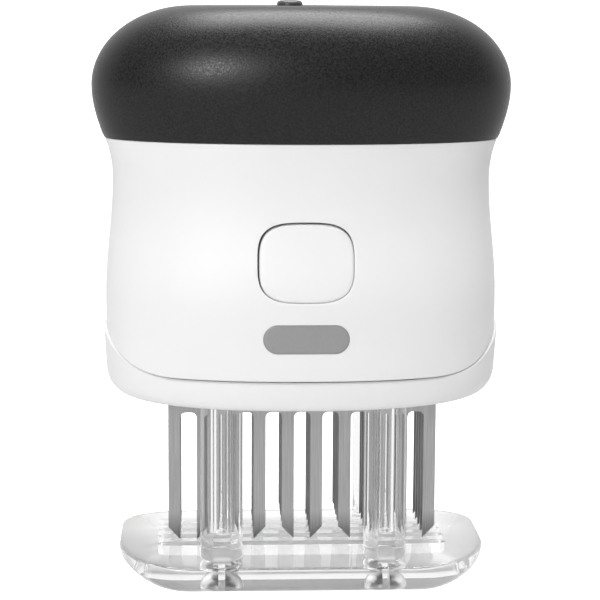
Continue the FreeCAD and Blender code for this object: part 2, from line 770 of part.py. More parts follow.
def sole_sweep():
    """The boat-like side view of the sole, as a prism along Y."""
    reach = SOLE_X + 1
    y0 = -SOLE_Y - 1

    def sweep_z(x):
        return SOLE_SWEEP_R - math.sqrt(SOLE_SWEEP_R**2 - (x - SOLE_FLAT_X) ** 2)

    middle = (SOLE_FLAT_X + reach) / 2
    edges = [Part.makeLine(Vector(-SOLE_FLAT_X, y0, 0), Vector(SOLE_FLAT_X, y0, 0))]
    for side in (1, -1):
        edges.append(
            Part.Arc(
                Vector(side * SOLE_FLAT_X, y0, 0),
                Vector(side * middle, y0, sweep_z(middle)),
                Vector(side * reach, y0, sweep_z(reach)),
            ).toShape()
        )
    top = SOLE_TOP_Z + 1
    edges += Part.makePolygon(
        [
            Vector(reach, y0, sweep_z(reach)),
            Vector(reach, y0, top),
            Vector(-reach, y0, top),
            Vector(-reach, y0, sweep_z(reach)),
        ]
    ).Edges
    outline = Part.Wire(Part.__sortEdges__(edges))
    return Part.Face(outline).extrude(Vector(0, -2 * y0, 0))


def guard_post(x, y):
    """One tubular post with its outer rib and the slimmer stem that carries the crosshead."""
    side = 1 if y > 0 else -1
    tube = cylinder(POST_R, x, y, 0, LIP_Z)
    stem = facet_prism(STEM_R, x, y, LIP_Z, stem_top_z, 12)
    x0 = x - RIB_WIDTH / 2
    bend_y = (rib_root_y + rib_front_y) / 2 - RIB_SWEEP_SAG
    bend_z = (RIB_ROOT_Z + RIB_SWEEP_Z) / 2
    profile = [
        (rib_root_y, RIB_ROOT_Z),
        (bend_y, bend_z),
        (rib_front_y, RIB_SWEEP_Z),
        (rib_front_y, LIP_Z),
        (post_y, LIP_Z),
        (post_y, RIB_ROOT_Z),
    ]
    rib = flat_face([Vector(x0, side * py, pz) for py, pz in profile])
    return fuse([tube, stem, rib.extrude(Vector(RIB_WIDTH, 0, 0))])


def post_hollows(x, y):
    """The shallow pocket under a post, split by a web, and the bore above it."""
    pocket = facet_prism(POCKET_R, x, y, -1, POCKET_DEPTH, 12)
    half, reach = POCKET_WEB / 2, POCKET_R + 1
    web = box(x - half, x + half, y - reach, y + reach, -2, POCKET_DEPTH + 1)
    return [pocket.cut(web), facet_prism(POST_BORE_R, x, y, post_bore_z, stem_top_z + 1, 12)]


def sole_slot(y):
    """One slot for a row of blades, with rounded ends of flat facets."""
    half = SLOT_WIDTH / 2
    reach = slot_half - half
    middle = box(-reach, reach, y - half, y + half, -1, SOLE_TOP_Z + 1)
    ends = [facet_prism(half, side * reach, y, -1, SOLE_TOP_Z + 1, 12) for side in (1, -1)]
    return fuse([middle] + ends)


def guard_foot():
    slots = [sole_slot(y) for y in row_ys]
    whole = fuse([cut(sole_plate(), slots)] + [guard_post(x, y) for x, y in post_places])
    hollows = []
    for x, y in post_places:
        hollows += post_hollows(x, y)
    return cut(whole, hollows)


def crosshead():
    """The frame that ties the four posts together and takes the return springs."""
    rails = []
    reach = post_y + RAIL_OVERHANG
    for side in (1, -1):
        x = side * POST_X
        rails.append(
            box(x - RAIL_WIDTH / 2, x + RAIL_WIDTH / 2, -reach, reach, stem_top_z + FIT, crosshead_top)
        )
    bridge = box(-POST_X, POST_X, -BRIDGE_HALF_Y, BRIDGE_HALF_Y, stem_top_z + FIT, crosshead_top)
    spigots = [spigot(side, crosshead_top, crosshead_top + SPIGOT_H) for side in (1, -1)]
    holes = [screw_hole(x, y, stem_top_z - 1, crosshead_top + 1) for x, y in post_places]
    frame = fuse(rails + [bridge] + spigots)
    return cut(frame, holes + [lock_slot(stem_top_z - 1, crosshead_top + 1)])


def crosshead_screws():
    return [screw(x, y, crosshead_top + FIT, POST_SCREW_GRIP, False) for x, y in post_places]


# ---- build and write every piece ----
def write(name, shape):
    solids = shape if isinstance(shape, list) else [shape]
    solid = solids[0] if len(solids) == 1 else Part.makeCompound(solids)
    solid.exportStep(os.path.join("parts", name + ".step"))


os.makedirs("parts", exist_ok=True)
front = front_form()
brace_room = loft(shell_cavity(HOUSING_WALL + FIT, deck_bottom))
bar = lock_bar()
outline = comb_outline()

write("upper_shell", upper_shell())
write("grip_cover", grip_cover())
write("handle_core", handle_core())
write("spring_plate", spring_plate())
write("core_screws", core_screws())
write("lock_detent", lock_detent())
write("lock_bar", bar)
write("lock_knob", lock_knob(bar))
write("release_button", release_button(front))
write("latch_slide", latch_slide())
write("button_brace", button_brace(brace_room))
write("button_spring", button_spring())
write("base_cup", base_cup())
write("blade_carrier", blade_carrier())
write("carrier_cap", carrier_cap())
write("carrier_screws", carrier_screws())
write("tie_bars", tie_bars())
write("bump_stops", bump_stops())
write("return_springs", return_springs())
for number, row_y in enumerate(row_ys, 1):
    write("blade_comb_" + str(number), blade_comb(outline, row_y))
write("guard_foot", guard_foot())
write("crosshead", crosshead())
write("crosshead_screws", crosshead_screws())
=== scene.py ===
"""Blade meat tenderizer: its pieces, finishes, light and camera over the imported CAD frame.

Sizes in the sections are millimetres; +Z is up, X runs along the handle and the front faces -Y.
"""

import math

import bmesh
import bpy
from mathutils import Matrix, Vector


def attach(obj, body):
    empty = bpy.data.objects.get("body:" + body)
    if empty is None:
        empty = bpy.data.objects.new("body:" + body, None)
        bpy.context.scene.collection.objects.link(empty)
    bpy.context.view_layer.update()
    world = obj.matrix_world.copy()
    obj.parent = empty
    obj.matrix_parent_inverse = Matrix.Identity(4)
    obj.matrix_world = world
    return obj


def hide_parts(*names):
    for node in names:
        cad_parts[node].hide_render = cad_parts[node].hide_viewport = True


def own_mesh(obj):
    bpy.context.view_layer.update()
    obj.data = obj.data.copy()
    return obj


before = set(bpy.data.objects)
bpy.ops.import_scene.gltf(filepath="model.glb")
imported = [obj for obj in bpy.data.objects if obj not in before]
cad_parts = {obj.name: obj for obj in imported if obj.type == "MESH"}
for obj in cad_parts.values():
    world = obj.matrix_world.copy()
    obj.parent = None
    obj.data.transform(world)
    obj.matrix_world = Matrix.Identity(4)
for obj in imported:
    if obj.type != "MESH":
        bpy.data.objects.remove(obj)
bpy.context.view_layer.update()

# ---- Blade combs ----
# Five combs of ten blades, blanked from 0.8 mm stainless strip, with the tips ground to a chisel
# edge that points to the right and to the left in turn. They slide into the carrier's slots.
MM = 0.001  # a millimetre in Blender's metres
PAST = 1.0  # how far a cutter reaches past what it cuts
CRISP = 32  # edges sharper than this many degrees aren't shaded round
BLADE_COUNT = 10
BLADE_PITCH = 7.32
BLADE_WIDTH = 3.1
BLADE_THICK = 0.8
BLADE_TIP_Z = 8.9
BLADE_MIDDLE = (BLADE_COUNT - 1) / 2
CHISEL_RISE = 3.3
GROUND_HEIGHT = 0.7
GROUND_EDGE = 0.2
TIP_DARKEST_TONE = 0.38
TIP_DARK_FROM_Z = BLADE_TIP_Z + 1.0
TIP_DARK_TO_Z = BLADE_TIP_Z + CHISEL_RISE + 4.0
ARCH_Z = 42.5
ARCH_ROUND = 1.4
SPINE_TOP_Z = 55.5
ROW_COUNT = 5
ROW_PITCH = 5.8
BAR_X = 4 * BLADE_PITCH
BAR_Z = 50.5
BAR_HOLE_HALF = 1.15
row_ys = [ROW_PITCH * (row - (ROW_COUNT - 1) / 2) for row in range(ROW_COUNT)]


def linear(hex_colour):
    """An sRGB hex colour as linear RGBA."""
    parts = [int(hex_colour[i : i + 2], 16) / 255 for i in (1, 3, 5)]
    return [p / 12.92 if p <= 0.04045 else ((p + 0.055) / 1.055) ** 2.4 for p in parts] + [1.0]


def add(tree, kind, inputs, **settings):
    """Adds a node with its settings; inputs gives each socket a value or another node's output."""
    made = tree.nodes.new(kind)
    for name, value in settings.items():
        setattr(made, name, value)
    for socket, value in inputs.items():
        if isinstance(value, bpy.types.NodeSocket):
            tree.links.new(value, made.inputs[socket])
        else:
            made.inputs[socket].default_value = value
    return made


def per_metre(size_mm):
    """The scale of a pattern whose features are this many millimetres wide."""
    return 1000 / size_mm


def new_finish(name):
    """A material with its node tree and its Principled shader."""
    made = bpy.data.materials.new(name)
    made.use_nodes = True
    return made, made.node_tree, made.node_tree.nodes["Principled BSDF"]


def smooth(made, sharp=CRISP):
    """Shades a piece round, except over its sharp edges."""
    mesh = made.data
    mesh.polygons.foreach_set("use_smooth", [True] * len(mesh.polygons))
    mesh.set_sharp_from_angle(angle=math.radians(sharp))


def piece(name, spots, faces, material, sharp=CRISP):
    """A new object from corners in millimetres; edges sharper than the angle stay crisp."""
    mesh = bpy.data.meshes.new(name)
    mesh.from_pydata([Vector(spot) * MM for spot in spots], [], faces)
    mesh.validate()
    sides = bmesh.new()
    sides.from_mesh(mesh)
    bmesh.ops.recalc_face_normals(sides, faces=sides.faces)
    sides.to_mesh(mesh)
    sides.free()
    mesh.materials.append(material)
    made = bpy.data.objects.new(name, mesh)
    bpy.context.scene.collection.objects.link(made)
    smooth(made, sharp)
    return made


def block(name, x0, x1, y0, y1, z0, z1, material):
    """A cutting or joining block; it is used up by carve."""
    spots = [(x, y, z) for z in (z0, z1) for x, y in ((x0, y0), (x1, y0), (x1, y1), (x0, y1))]
    faces = [(3, 2, 1, 0), (4, 5, 6, 7), (0, 1, 5, 4), (1, 2, 6, 5), (2, 3, 7, 6), (3, 0, 4, 7)]
    return piece(name, spots, faces, material)


def settle(made):
    """Applies an object's modifiers to its mesh."""
    bpy.context.view_layer.update()
    done = made.evaluated_get(bpy.context.evaluated_depsgraph_get())
    mesh = bpy.data.meshes.new_from_object(done)
    made.modifiers.clear()
    made.data = mesh


def carve(made, tools, operation="DIFFERENCE"):
    """Cuts each tool out of a piece, or joins it on, and takes the tool away."""
    for tool in tools:
        step = made.modifiers.new("carve", "BOOLEAN")
        step.object = tool
        step.operation = operation
        step.solver = "EXACT"
        step.material_mode = "TRANSFER"
        settle(made)
        bpy.data.objects.remove(tool)
    smooth(made)
    return made


def comb_edge():
    """The comb's outline down to the ground line, with the places of its blades."""
    half = BLADE_MIDDLE * BLADE_PITCH + BLADE_WIDTH / 2
    line = [(-half, SPINE_TOP_Z), (half, SPINE_TOP_Z)]
    tips = []
    arch = []
    for turn in range(0, 91, 18):
        t = math.radians(turn)
        arch.append((ARCH_ROUND * (1 - math.cos(t)), ARCH_Z - ARCH_ROUND * (1 - math.sin(t))))
    for blade in reversed(range(BLADE_COUNT)):
        middle = (blade - BLADE_MIDDLE) * BLADE_PITCH
        right, left = middle + BLADE_WIDTH / 2, middle - BLADE_WIDTH / 2
        low_right, low_left = (0, CHISEL_RISE) if blade % 2 == 0 else (CHISEL_RISE, 0)
        tips.append((len(line), right, BLADE_TIP_Z + low_right, left, BLADE_TIP_Z + low_left))
        line.append((right, BLADE_TIP_Z + low_right + GROUND_HEIGHT))
        line.append((left, BLADE_TIP_Z + low_left + GROUND_HEIGHT))
        if blade:
            line += [(left - u, z) for u, z in arch]
            line += [(right - BLADE_PITCH + u, z) for u, z in reversed(arch)]
    return line, tips


# 304 stainless, cold rolled and brushed along the blades: a grey metal whose upright scratches
# stretch the highlights; its colour darkens towards the tips. The scratches are drawn 0.3 mm wide
# and 16 mm long, coarser than real ones, so that they show.
brushed_stainless, tree, shader = new_finish("brushed_stainless_304")
place = add(tree, "ShaderNodeTexCoord", {})
scratch_scale = (per_metre(0.3), per_metre(0.3), per_metre(16))
stretched = add(
    tree, "ShaderNodeMapping", {"Vector": place.outputs["Object"], "Scale": scratch_scale}
)
scratches = add(
    tree,
    "ShaderNodeTexNoise",
    {"Vector": stretched.outputs["Vector"], "Scale": 1.0, "Detail": 3.0, "Roughness": 0.6},
)
tone = add(tree, "ShaderNodeValToRGB", {"Fac": scratches.outputs["Fac"]})
tone.color_ramp.elements[0].position = 0.3
tone.color_ramp.elements[0].color = linear("#9d9d9e")
tone.color_ramp.elements[1].position = 0.75
tone.color_ramp.elements[1].color = linear("#bbbbbb")
# The colour darkens over the 6 mm above the tips, to 0.38 of itself at the lowest point.
height = add(tree, "ShaderNodeSeparateXYZ", {"Vector": place.outputs["Object"]})
towards_tips = add(
    tree,
    "ShaderNodeMapRange",
    {
        "Value": height.outputs["Z"],
        "From Min": TIP_DARK_FROM_Z * MM,
        "From Max": TIP_DARK_TO_Z * MM,
        "To Min": TIP_DARKEST_TONE,
        "To Max": 1.0,
    },
)
tip_darkened = add(
    tree,
    "ShaderNodeVectorMath",
    {0: tone.outputs["Color"], "Scale": towards_tips.outputs["Result"]},
    operation="SCALE",
)
dulled = add(
    tree,
    "ShaderNodeMapRange",
    {"Value": scratches.outputs["Fac"], "To Min": 0.3, "To Max": 0.4},
)
relief = add(
    tree,
    "ShaderNodeBump",
    {"Height": scratches.outputs["Fac"], "Strength": 0.15, "Distance": 0.00002},
)
tree.links.new(tip_darkened.outputs["Vector"], shader.inputs["Base Color"])
tree.links.new(dulled.outputs["Result"], shader.inputs["Roughness"])
tree.links.new(relief.outputs["Normal"], shader.inputs["Normal"])
shader.inputs["Metallic"].default_value = 1.0

line, tips = comb_edge()
count = len(line)
spots = [(x, -BLADE_THICK / 2, z) for x, z in line] + [(x, BLADE_THICK / 2, z) for x, z in line]
faces = [tuple(range(count))[::-1], tuple(range(count, 2 * count))]
open_edges = {first for first, *_ in tips}
for here in range(count):
    after = (here + 1) % count
    if here not in open_edges:
        faces.append((here, after, after + count, here + count))
for first, right, low_right, left, low_left in tips:
    start = len(spots)
    spots += [(right, -GROUND_EDGE / 2, low_right), (left, -GROUND_EDGE / 2, low_left)]
    spots += [(right, GROUND_EDGE / 2, low_right), (left, GROUND_EDGE / 2, low_left)]
    second = first + 1
    faces += [
        (first, second, start + 1, start),
        (second + count, first + count, start + 2, start + 3),
        (first + count, first, start, start + 2),
        (second, second + count, start + 3, start + 1),
        (start, start + 1, start + 3, start + 2),
    ]
comb = piece("comb_blank", spots, faces, brushed_stainless)
half, reach = BAR_HOLE_HALF, BLADE_THICK / 2 + PAST
holes = []
for x in (-BAR_X, BAR_X):
    sides = (x - half, x + half, -reach, reach, BAR_Z - half, BAR_Z + half)
    holes.append(block("bar_hole", *sides, brushed_stainless))
carve(comb, holes)
for number, row_y in enumerate(row_ys, 1):
    row = bpy.data.objects.new(f"steel_comb_{number}", comb.data.copy())
    bpy.context.scene.collection.objects.link(row)
    row.data.transform(Matrix.Translation((0, row_y * MM, 0)))
    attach(row, "base")
    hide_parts(f"blade_comb_{number}")
bpy.data.objects.remove(comb)

# ---- Tie bars ----
# Two square bars drawn from bright steel and nickel plated. They are pushed through all five
# combs inside the carrier, and hold them at one height.


def dress(node, material):
    """Gives a carried-over CAD node its finish."""
    for place_of_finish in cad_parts[node].material_slots:
        place_of_finish.material = material


# Drawn carbon steel, nickel plated: brighter than the blades, with a faint mottle from the die,
# drawn 0.4 mm wide, coarser than a real one, so that it shows.
plated_steel, tree, shader = new_finish("nickel_plated_steel")
place = add(tree, "ShaderNodeTexCoord", {})
die_marks = add(
    tree,
    "ShaderNodeTexNoise",
    {"Vector": place.outputs["Object"], "Scale": per_metre(0.4), "Detail": 2.0},
)
tone = add(tree, "ShaderNodeValToRGB", {"Fac": die_marks.outputs["Fac"]})
tone.color_ramp.elements[0].color = linear("#b4b2ae")
tone.color_ramp.elements[1].color = linear("#d2d0cb")
dulled = add(
    tree,
    "ShaderNodeMapRange",
    {"Value": die_marks.outputs["Fac"], "To Min": 0.18, "To Max": 0.32},
)
tree.links.new(tone.outputs["Color"], shader.inputs["Base Color"])
tree.links.new(dulled.outputs["Result"], shader.inputs["Roughness"])
shader.inputs["Metallic"].default_value = 1.0
dress("tie_bars", plated_steel)

# ---- Blade carrier and its cap ----
# A block of natural acetal with five slots for the combs, and a flat cap over it. Both are
# moulded, let into the floor of the cup and held by two screws.

# Acetal (POM), injection moulded: milky and satin, with clouds of 8 mm from the uneven cooling of
# a thick moulding, and a grain of 0.45 mm, coarser than the real one, so that it shows.
moulded_acetal, tree, shader = new_finish("moulded_acetal")
place = add(tree, "ShaderNodeTexCoord", {})
cloud = add(
    tree,
    "ShaderNodeTexNoise",
    {"Vector": place.outputs["Object"], "Scale": per_metre(8), "Detail": 3.0},
)
tone = add(tree, "ShaderNodeValToRGB", {"Fac": cloud.outputs["Fac"]})
tone.color_ramp.elements[0].color = linear("#c9c9c4")
tone.color_ramp.elements[1].color = linear("#dededa")
grain = add(
    tree,
    "ShaderNodeTexNoise",
    {"Vector": place.outputs["Object"], "Scale": per_metre(0.45), "Detail": 2.0},
)
relief = add(
    tree, "ShaderNodeBump", {"Height": grain.outputs["Fac"], "Strength": 0.3, "Distance": 0.00003}
)
tree.links.new(tone.outputs["Color"], shader.inputs["Base Color"])
tree.links.new(relief.outputs["Normal"], shader.inputs["Normal"])
shader.inputs["Roughness"].default_value = 0.42
shader.inputs["IOR"].default_value = 1.48
dress("blade_carrier", moulded_acetal)
dress("carrier_cap", moulded_acetal)

# ---- Base cup ----
# The white lower cup: a rounded lip, a floor with the cartridge window and four guide holes, two
# ears that rise and flare at the sides, and the tongue that the latch holds. Moulded in ABS.
LIP_Z = 46.4
LIP_ROUND = 7.0
LIP_INSET_X = 6.1
LIP_INSET_Y = 2.3
BELLY_TOP_Z = 72.0
WAIST_Z = 102.5
SHOULDER_Z = 112.5
BELLY_X, BELLY_Y = 50.6, 31.2
WAIST_X, WAIST_Y = 48.7, 26.6
SHOULDER_X, SHOULDER_Y = 50.6, 26.2
BELLY_POWER = 2.3
SHOULDER_POWER = 2.15
SEAM_Z = 53.9
EAR_RISE = 10.6
EAR_HALF_WIDTH = 26.0
EAR_FLARE = 0.65
CUP_WALL = 3.0
FLOOR_TOP_Z = 48.9
WINDOW_X, WINDOW_Y = 38.05, 12.85
POST_X, POST_Y, POST_R = 20.85, 19.3, 5.4
RUN = 0.35
RIB_HALF = 2.2
RIB_FRONT_Y = 25.4
TONGUE_X = 7.0
TONGUE_FRONT_Y, TONGUE_BACK_Y = -28.7, -27.2
TONGUE_TOP_Z = 66.0
TONGUE_GAP_X = 4.35
TONGUE_GAP_LOW_Z, TONGUE_GAP_HIGH_Z = 58.65, 62.15
CORNERS = ((1, 1), (-1, 1), (-1, -1), (1, -1))
ROUND_STEPS = 256
ROD_STEPS = 48


def ease(share):
    """A share from 0 to 1 that starts and ends gently."""
    return (1 - math.cos(math.pi * min(max(share, 0), 1))) / 2


def body_plan(z):
    """The housing's half sizes and the squareness of its plan at height z."""
    low = min(max((LIP_Z + LIP_ROUND - z) / LIP_ROUND, 0), 1)
    pull = 1 - math.sqrt(1 - low * low)
    rise = ease((z - BELLY_TOP_Z) / (WAIST_Z - BELLY_TOP_Z))
    flare = (max(z - WAIST_Z, 0) / (SHOULDER_Z - WAIST_Z)) ** 2
    half_x = BELLY_X - LIP_INSET_X * pull
    half_x += (WAIST_X - BELLY_X) * rise + (SHOULDER_X - WAIST_X) * flare
    half_y = BELLY_Y - LIP_INSET_Y * pull
    half_y += (WAIST_Y - BELLY_Y) * rise + (SHOULDER_Y - WAIST_Y) * flare
    return half_x, half_y, BELLY_POWER + (SHOULDER_POWER - BELLY_POWER) * rise


def oval(half_u, half_v, power, steps):
    """A closed outline; a power of 2 makes an ellipse, and more makes it squarer."""
    line = []
    for step in range(steps):
        angle = 2 * math.pi * step / steps
        c, s = math.cos(angle), math.sin(angle)
        u = half_u * math.copysign(abs(c) ** (2 / power), c)
        v = half_v * math.copysign(abs(s) ** (2 / power), s)
        line.append((u, v))
    return line


def plan_ring(half_x, half_y, power, z):
    """One level of a moulded body, as a ring of corners."""
    return [(x, y, z) for x, y in oval(half_x, half_y, power, ROUND_STEPS)]


def body_ring(z, inset=0.0):
    """One level of the housing, drawn in by inset."""
    half_x, half_y, power = body_plan(z)
    return plan_ring(half_x - inset, half_y - inset, power, z)


def seam_ring(inset, shift, share=1.0, flare=0.0):
    """The belly's plan with the seam's wave; share runs from the top of the lip to the seam."""
    low = LIP_Z + LIP_ROUND
    ring = []
    for x, y, _ in plan_ring(BELLY_X - inset, BELLY_Y - inset, BELLY_POWER, 0):
        rise = math.cos(math.pi / 2 * min(abs(y) / EAR_HALF_WIDTH, 1)) ** 2
        z = low + (SEAM_Z + EAR_RISE * rise - low) * share + shift
        ring.append((x * (1 + flare / BELLY_X * ease(rise) * share), y, z))
    return ring


def skin(rings):
    """Corners and faces of a form through rings of equal count, with flat ends."""
    count = len(rings[0])
    spots = [spot for ring in rings for spot in ring]
    faces = []
    for low in range(0, len(spots) - count, count):
        high = low + count
        for here in range(count):
            after = (here + 1) % count
            faces.append((low + here, low + after, high + after, high + here))
    faces.append(tuple(range(count))[::-1])
    faces.append(tuple(range(len(spots) - count, len(spots))))
    return spots, faces


def turned_rings(profile, steps, x=0.0, y=0.0):
    """Rings of a round form about an upright line, one for each radius and height."""
    rings = []
    for radius, z in profile:
        rings.append([(x + u, y + v, z) for u, v in oval(radius, radius, 2, steps)])
    return rings


def rod(name, radius, x, y, z0, z1, material):
    """An upright round cutting or joining rod; it is used up by carve."""
    rings = turned_rings([(radius, z0), (radius, z1)], ROD_STEPS, x, y)
    return piece(name, *skin(rings), material)


# ABS, injection moulded in a finely blasted tool: satin white, with a very slight waviness of
# 14 mm that keeps the broad highlights from looking too even.
white_abs, tree, shader = new_finish("moulded_white_abs")
place = add(tree, "ShaderNodeTexCoord", {})
waves = add(
    tree,
    "ShaderNodeTexNoise",
    {"Vector": place.outputs["Object"], "Scale": per_metre(14), "Detail": 2.0},
)
tone = add(tree, "ShaderNodeValToRGB", {"Fac": waves.outputs["Fac"]})
tone.color_ramp.elements[0].color = linear("#ebebeb")
tone.color_ramp.elements[1].color = linear("#efefef")
dulled = add(
    tree,
    "ShaderNodeMapRange",
    {"Value": waves.outputs["Fac"], "To Min": 0.5, "To Max": 0.56},
)
relief = add(
    tree, "ShaderNodeBump", {"Height": waves.outputs["Fac"], "Strength": 0.05, "Distance": 0.0002}
)
tree.links.new(tone.outputs["Color"], shader.inputs["Base Color"])
tree.links.new(dulled.outputs["Result"], shader.inputs["Roughness"])
tree.links.new(relief.outputs["Normal"], shader.inputs["Normal"])
shader.inputs["IOR"].default_value = 1.53

# From under the lip up the outside, over the wavy rim, and down the inside to the floor.
rings = [body_ring(LIP_Z + 0.05, 0.5)]
for turn in range(5, 91, 5):
    rings.append(body_ring(LIP_Z + LIP_ROUND * (1 - math.cos(math.radians(turn)))))
for step in range(1, 8):
    rings.append(seam_ring(0, 0, step / 8, EAR_FLARE))
for inset, shift in ((0, -0.35), (0.03, -0.14), (0.12, -0.03), (0.3, 0)):
    rings.append(seam_ring(inset, shift, 1, EAR_FLARE))
for inset, shift in ((CUP_WALL - 0.3, 0), (CUP_WALL, -0.3)):
    rings.append(seam_ring(inset, shift))
for inset, rise in ((CUP_WALL, 2.0), (CUP_WALL + 0.3, 0.6), (CUP_WALL + 1.2, 0)):
    rings.append(plan_ring(BELLY_X - inset, BELLY_Y - inset, BELLY_POWER, FLOOR_TOP_Z + rise))
cup = piece("white_cup", *skin(rings), white_abs)
floor_cut = (LIP_Z - PAST, FLOOR_TOP_Z + PAST)
tools = [block("window", -WINDOW_X, WINDOW_X, -WINDOW_Y, WINDOW_Y, *floor_cut, white_abs)]
for sx, sy in CORNERS:
    x, y = sx * POST_X, sy * POST_Y
    tools.append(rod("guide", POST_R + RUN, x, y, *floor_cut, white_abs))
    near, far = sorted((y, sy * (RIB_FRONT_Y + RUN)))
    half = RIB_HALF + RUN
    tools.append(block("keyway", x - half, x + half, near, far, *floor_cut, white_abs))
carve(cup, tools)
tongue = block(
    "tongue",
    -TONGUE_X,
    TONGUE_X,
    TONGUE_FRONT_Y,
    TONGUE_BACK_Y,
    FLOOR_TOP_Z - 0.5,
    TONGUE_TOP_Z,
    white_abs,
)
tongue_gap = block(
    "tongue_gap",
    -TONGUE_GAP_X,
    TONGUE_GAP_X,
    TONGUE_FRONT_Y - PAST,
    TONGUE_BACK_Y + PAST,
    TONGUE_GAP_LOW_Z,
    TONGUE_GAP_HIGH_Z,
    white_abs,
)
carve(cup, [carve(tongue, [tongue_gap])], "UNION")
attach(cup, "base")
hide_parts("base_cup")

# ---- Screws ----
# Pan-head screws with a cross recess, rolled threads and a plated finish: two hold the carrier in
# the cup, four the crosshead on the posts, and two the spring plate under the handle core.
SCREW_R = 1.3
SCREW_AXIS_R = 0.05
SCREW_HEAD_R = 2.75
SCREW_HEAD_H = 1.8
SCREW_RIM_H = 0.55
SCREW_STEPS = 24
THREAD_PITCH = 0.45
CROSS_LONG, CROSS_THIN = 1.5, 0.3
CROSS_FLOOR = 0.9
CARRIER_SCREW_X = 40.89
CARRIER_SEAT_Z = 51.0
CROSSHEAD_SEAT_Z = 64.05
CORE_SCREW_X = 34.0
CORE_SEAT_Z = 108.05


def screw_mesh(grip):
    """One screw seated at z = 0 with its shank below it, cross recess in the head."""
    profile = [(SCREW_AXIS_R, -grip), (SCREW_R * 0.6, -grip)]
    z = -grip + 0.5
    while z < -THREAD_PITCH:
        profile += [(SCREW_R * 0.8, z), (SCREW_R, z + THREAD_PITCH / 2)]
        z += THREAD_PITCH
    profile += [(SCREW_R * 0.85, -0.1), (SCREW_R, 0)]
    profile += [(SCREW_HEAD_R, 0), (SCREW_HEAD_R, SCREW_RIM_H)]
    for turn in range(15, 90, 15):
        t = math.radians(turn)
        z = SCREW_RIM_H + (SCREW_HEAD_H - SCREW_RIM_H) * math.sin(t)
        profile.append((SCREW_HEAD_R * math.cos(t), z))
    profile.append((SCREW_AXIS_R, SCREW_HEAD_H))
    screw = piece("screw_blank", *skin(turned_rings(profile, SCREW_STEPS)), plated_steel)
    bars = []
    for u, v in ((CROSS_LONG, CROSS_THIN), (CROSS_THIN, CROSS_LONG)):
        bars.append(block("cross", -u, u, -v, v, CROSS_FLOOR, SCREW_HEAD_H + PAST, plated_steel))
    return carve(screw, bars)


def set_of_screws(name, node, body, places, seat, grip, heads_down=False):
    """Copies of one screw at their places, as one piece."""
    blank = screw_mesh(grip)
    spots, faces = [], []
    flip = -1 if heads_down else 1
    for x, y in places:
        start = len(spots)
        for corner in blank.data.vertices:
            place_now = Vector((corner.co.x, flip * corner.co.y, flip * corner.co.z)) / MM
            spots.append(place_now + Vector((x, y, seat)))
        faces += [tuple(start + v for v in face.vertices) for face in blank.data.polygons]
    made = piece(name, spots, faces, plated_steel)
    bpy.data.objects.remove(blank)
    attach(made, body)
    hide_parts(node)


set_of_screws(
    "carrier_screw_pair",
    "carrier_screws",
    "base",
    [(CARRIER_SCREW_X, 0), (-CARRIER_SCREW_X, 0)],
    CARRIER_SEAT_Z,
    grip=3.0,
)
set_of_screws(
    "crosshead_screw_set",
    "crosshead_screws",
    "guard",
    [(sx * POST_X, sy * POST_Y) for sx, sy in CORNERS],
    CROSSHEAD_SEAT_Z,
    grip=8.0,
)
set_of_screws(
    "core_screw_pair",
    "core_screws",
    "head",
    [(CORE_SCREW_X, 0), (-CORE_SCREW_X, 0)],
    CORE_SEAT_Z,
    grip=8.0,
    heads_down=True,
)

# ---- Bump stops ----
# Four short stops moulded in rubber and glued to the carrier's cap; the crosshead comes down on
# them when the guard springs back.

# EPDM rubber, moulded: dull black with a faint dusty bloom in specks of about 1 mm.
stop_rubber, tree, shader = new_finish("moulded_epdm_rubber")
place = add(tree, "ShaderNodeTexCoord", {})
bloom = add(
    tree,
    "ShaderNodeTexNoise",
    {"Vector": place.outputs["Object"], "Scale": per_metre(1.1), "Detail": 4.0},
)
tone = add(tree, "ShaderNodeValToRGB", {"Fac": bloom.outputs["Fac"]})
tone.color_ramp.elements[0].color = linear("#262626")
tone.color_ramp.elements[1].color = linear("#3c3c3b")
tree.links.new(tone.outputs["Color"], shader.inputs["Base Color"])
shader.inputs["Roughness"].default_value = 0.75
dress("bump_stops", stop_rubber)

# ---- Guard foot ----
# The clear sole that rests on the meat: a crowned plate with five slots, four tubular posts with
# an outer rib each, and domed pockets under the posts, split by a web. One moulding in clear SAN
# (styrene-acrylonitrile).
SOLE_X, SOLE_Y = 47.25, 28.5
SOLE_CORNER = 20.0
SOLE_TOP_Z = 8.2
SOLE_CROWN_R = 175.0
SOLE_FLAT_X = 30.0
SOLE_SWEEP_R = 29.0
SOLE_ROUND = ((0.8, 0), (0.35, 0.1), (0.1, 0.35), (0, 0.8))  # how far in and up at its edge
SOLE_ROWS = 12
SLOT_HALF = 37.25
SLOT_WIDTH = 3.0
SLOT_STEPS = 24
POST_BOTTOM_Z = 0.02
STEM_R = 3.4
STEM_TOP_Z = 60.0
RIB_LOW_Z = 5.0
RIB_FOOT = ((28.2, RIB_LOW_Z), (26.6, 7.8), (25.75, 11.0), (RIB_FRONT_Y, 14.4))
POCKET_R = 5.5
POCKET_DOME = ((0, 1), (0.8, 0.97), (1.6, 0.88), (2.3, 0.73), (2.9, 0.52), (3.4, 0.2))
POCKET_STEPS = 64
WEB_HALF = 0.9
WEB_REACH = 7.0
BORE_R = 2.2
BORE_LOW_Z = 13.5
CORNER_STEPS = 40


def sole_outline(inset):
    """The sole's rounded plan, drawn in by inset."""
    radius = SOLE_CORNER - inset
    line = []
    for quarter, (sx, sy) in enumerate(CORNERS):
        cx, cy = sx * (SOLE_X - SOLE_CORNER), sy * (SOLE_Y - SOLE_CORNER)
        for step in range(CORNER_STEPS + 1):
            t = math.pi / 2 * (quarter + step / CORNER_STEPS)
            line.append((cx + radius * math.cos(t), cy + radius * math.sin(t)))
    return line


def sole_top(y):
    """The height of the crowned top, which falls away to the front and back."""
    return SOLE_TOP_Z - SOLE_CROWN_R + math.sqrt(SOLE_CROWN_R**2 - y * y)


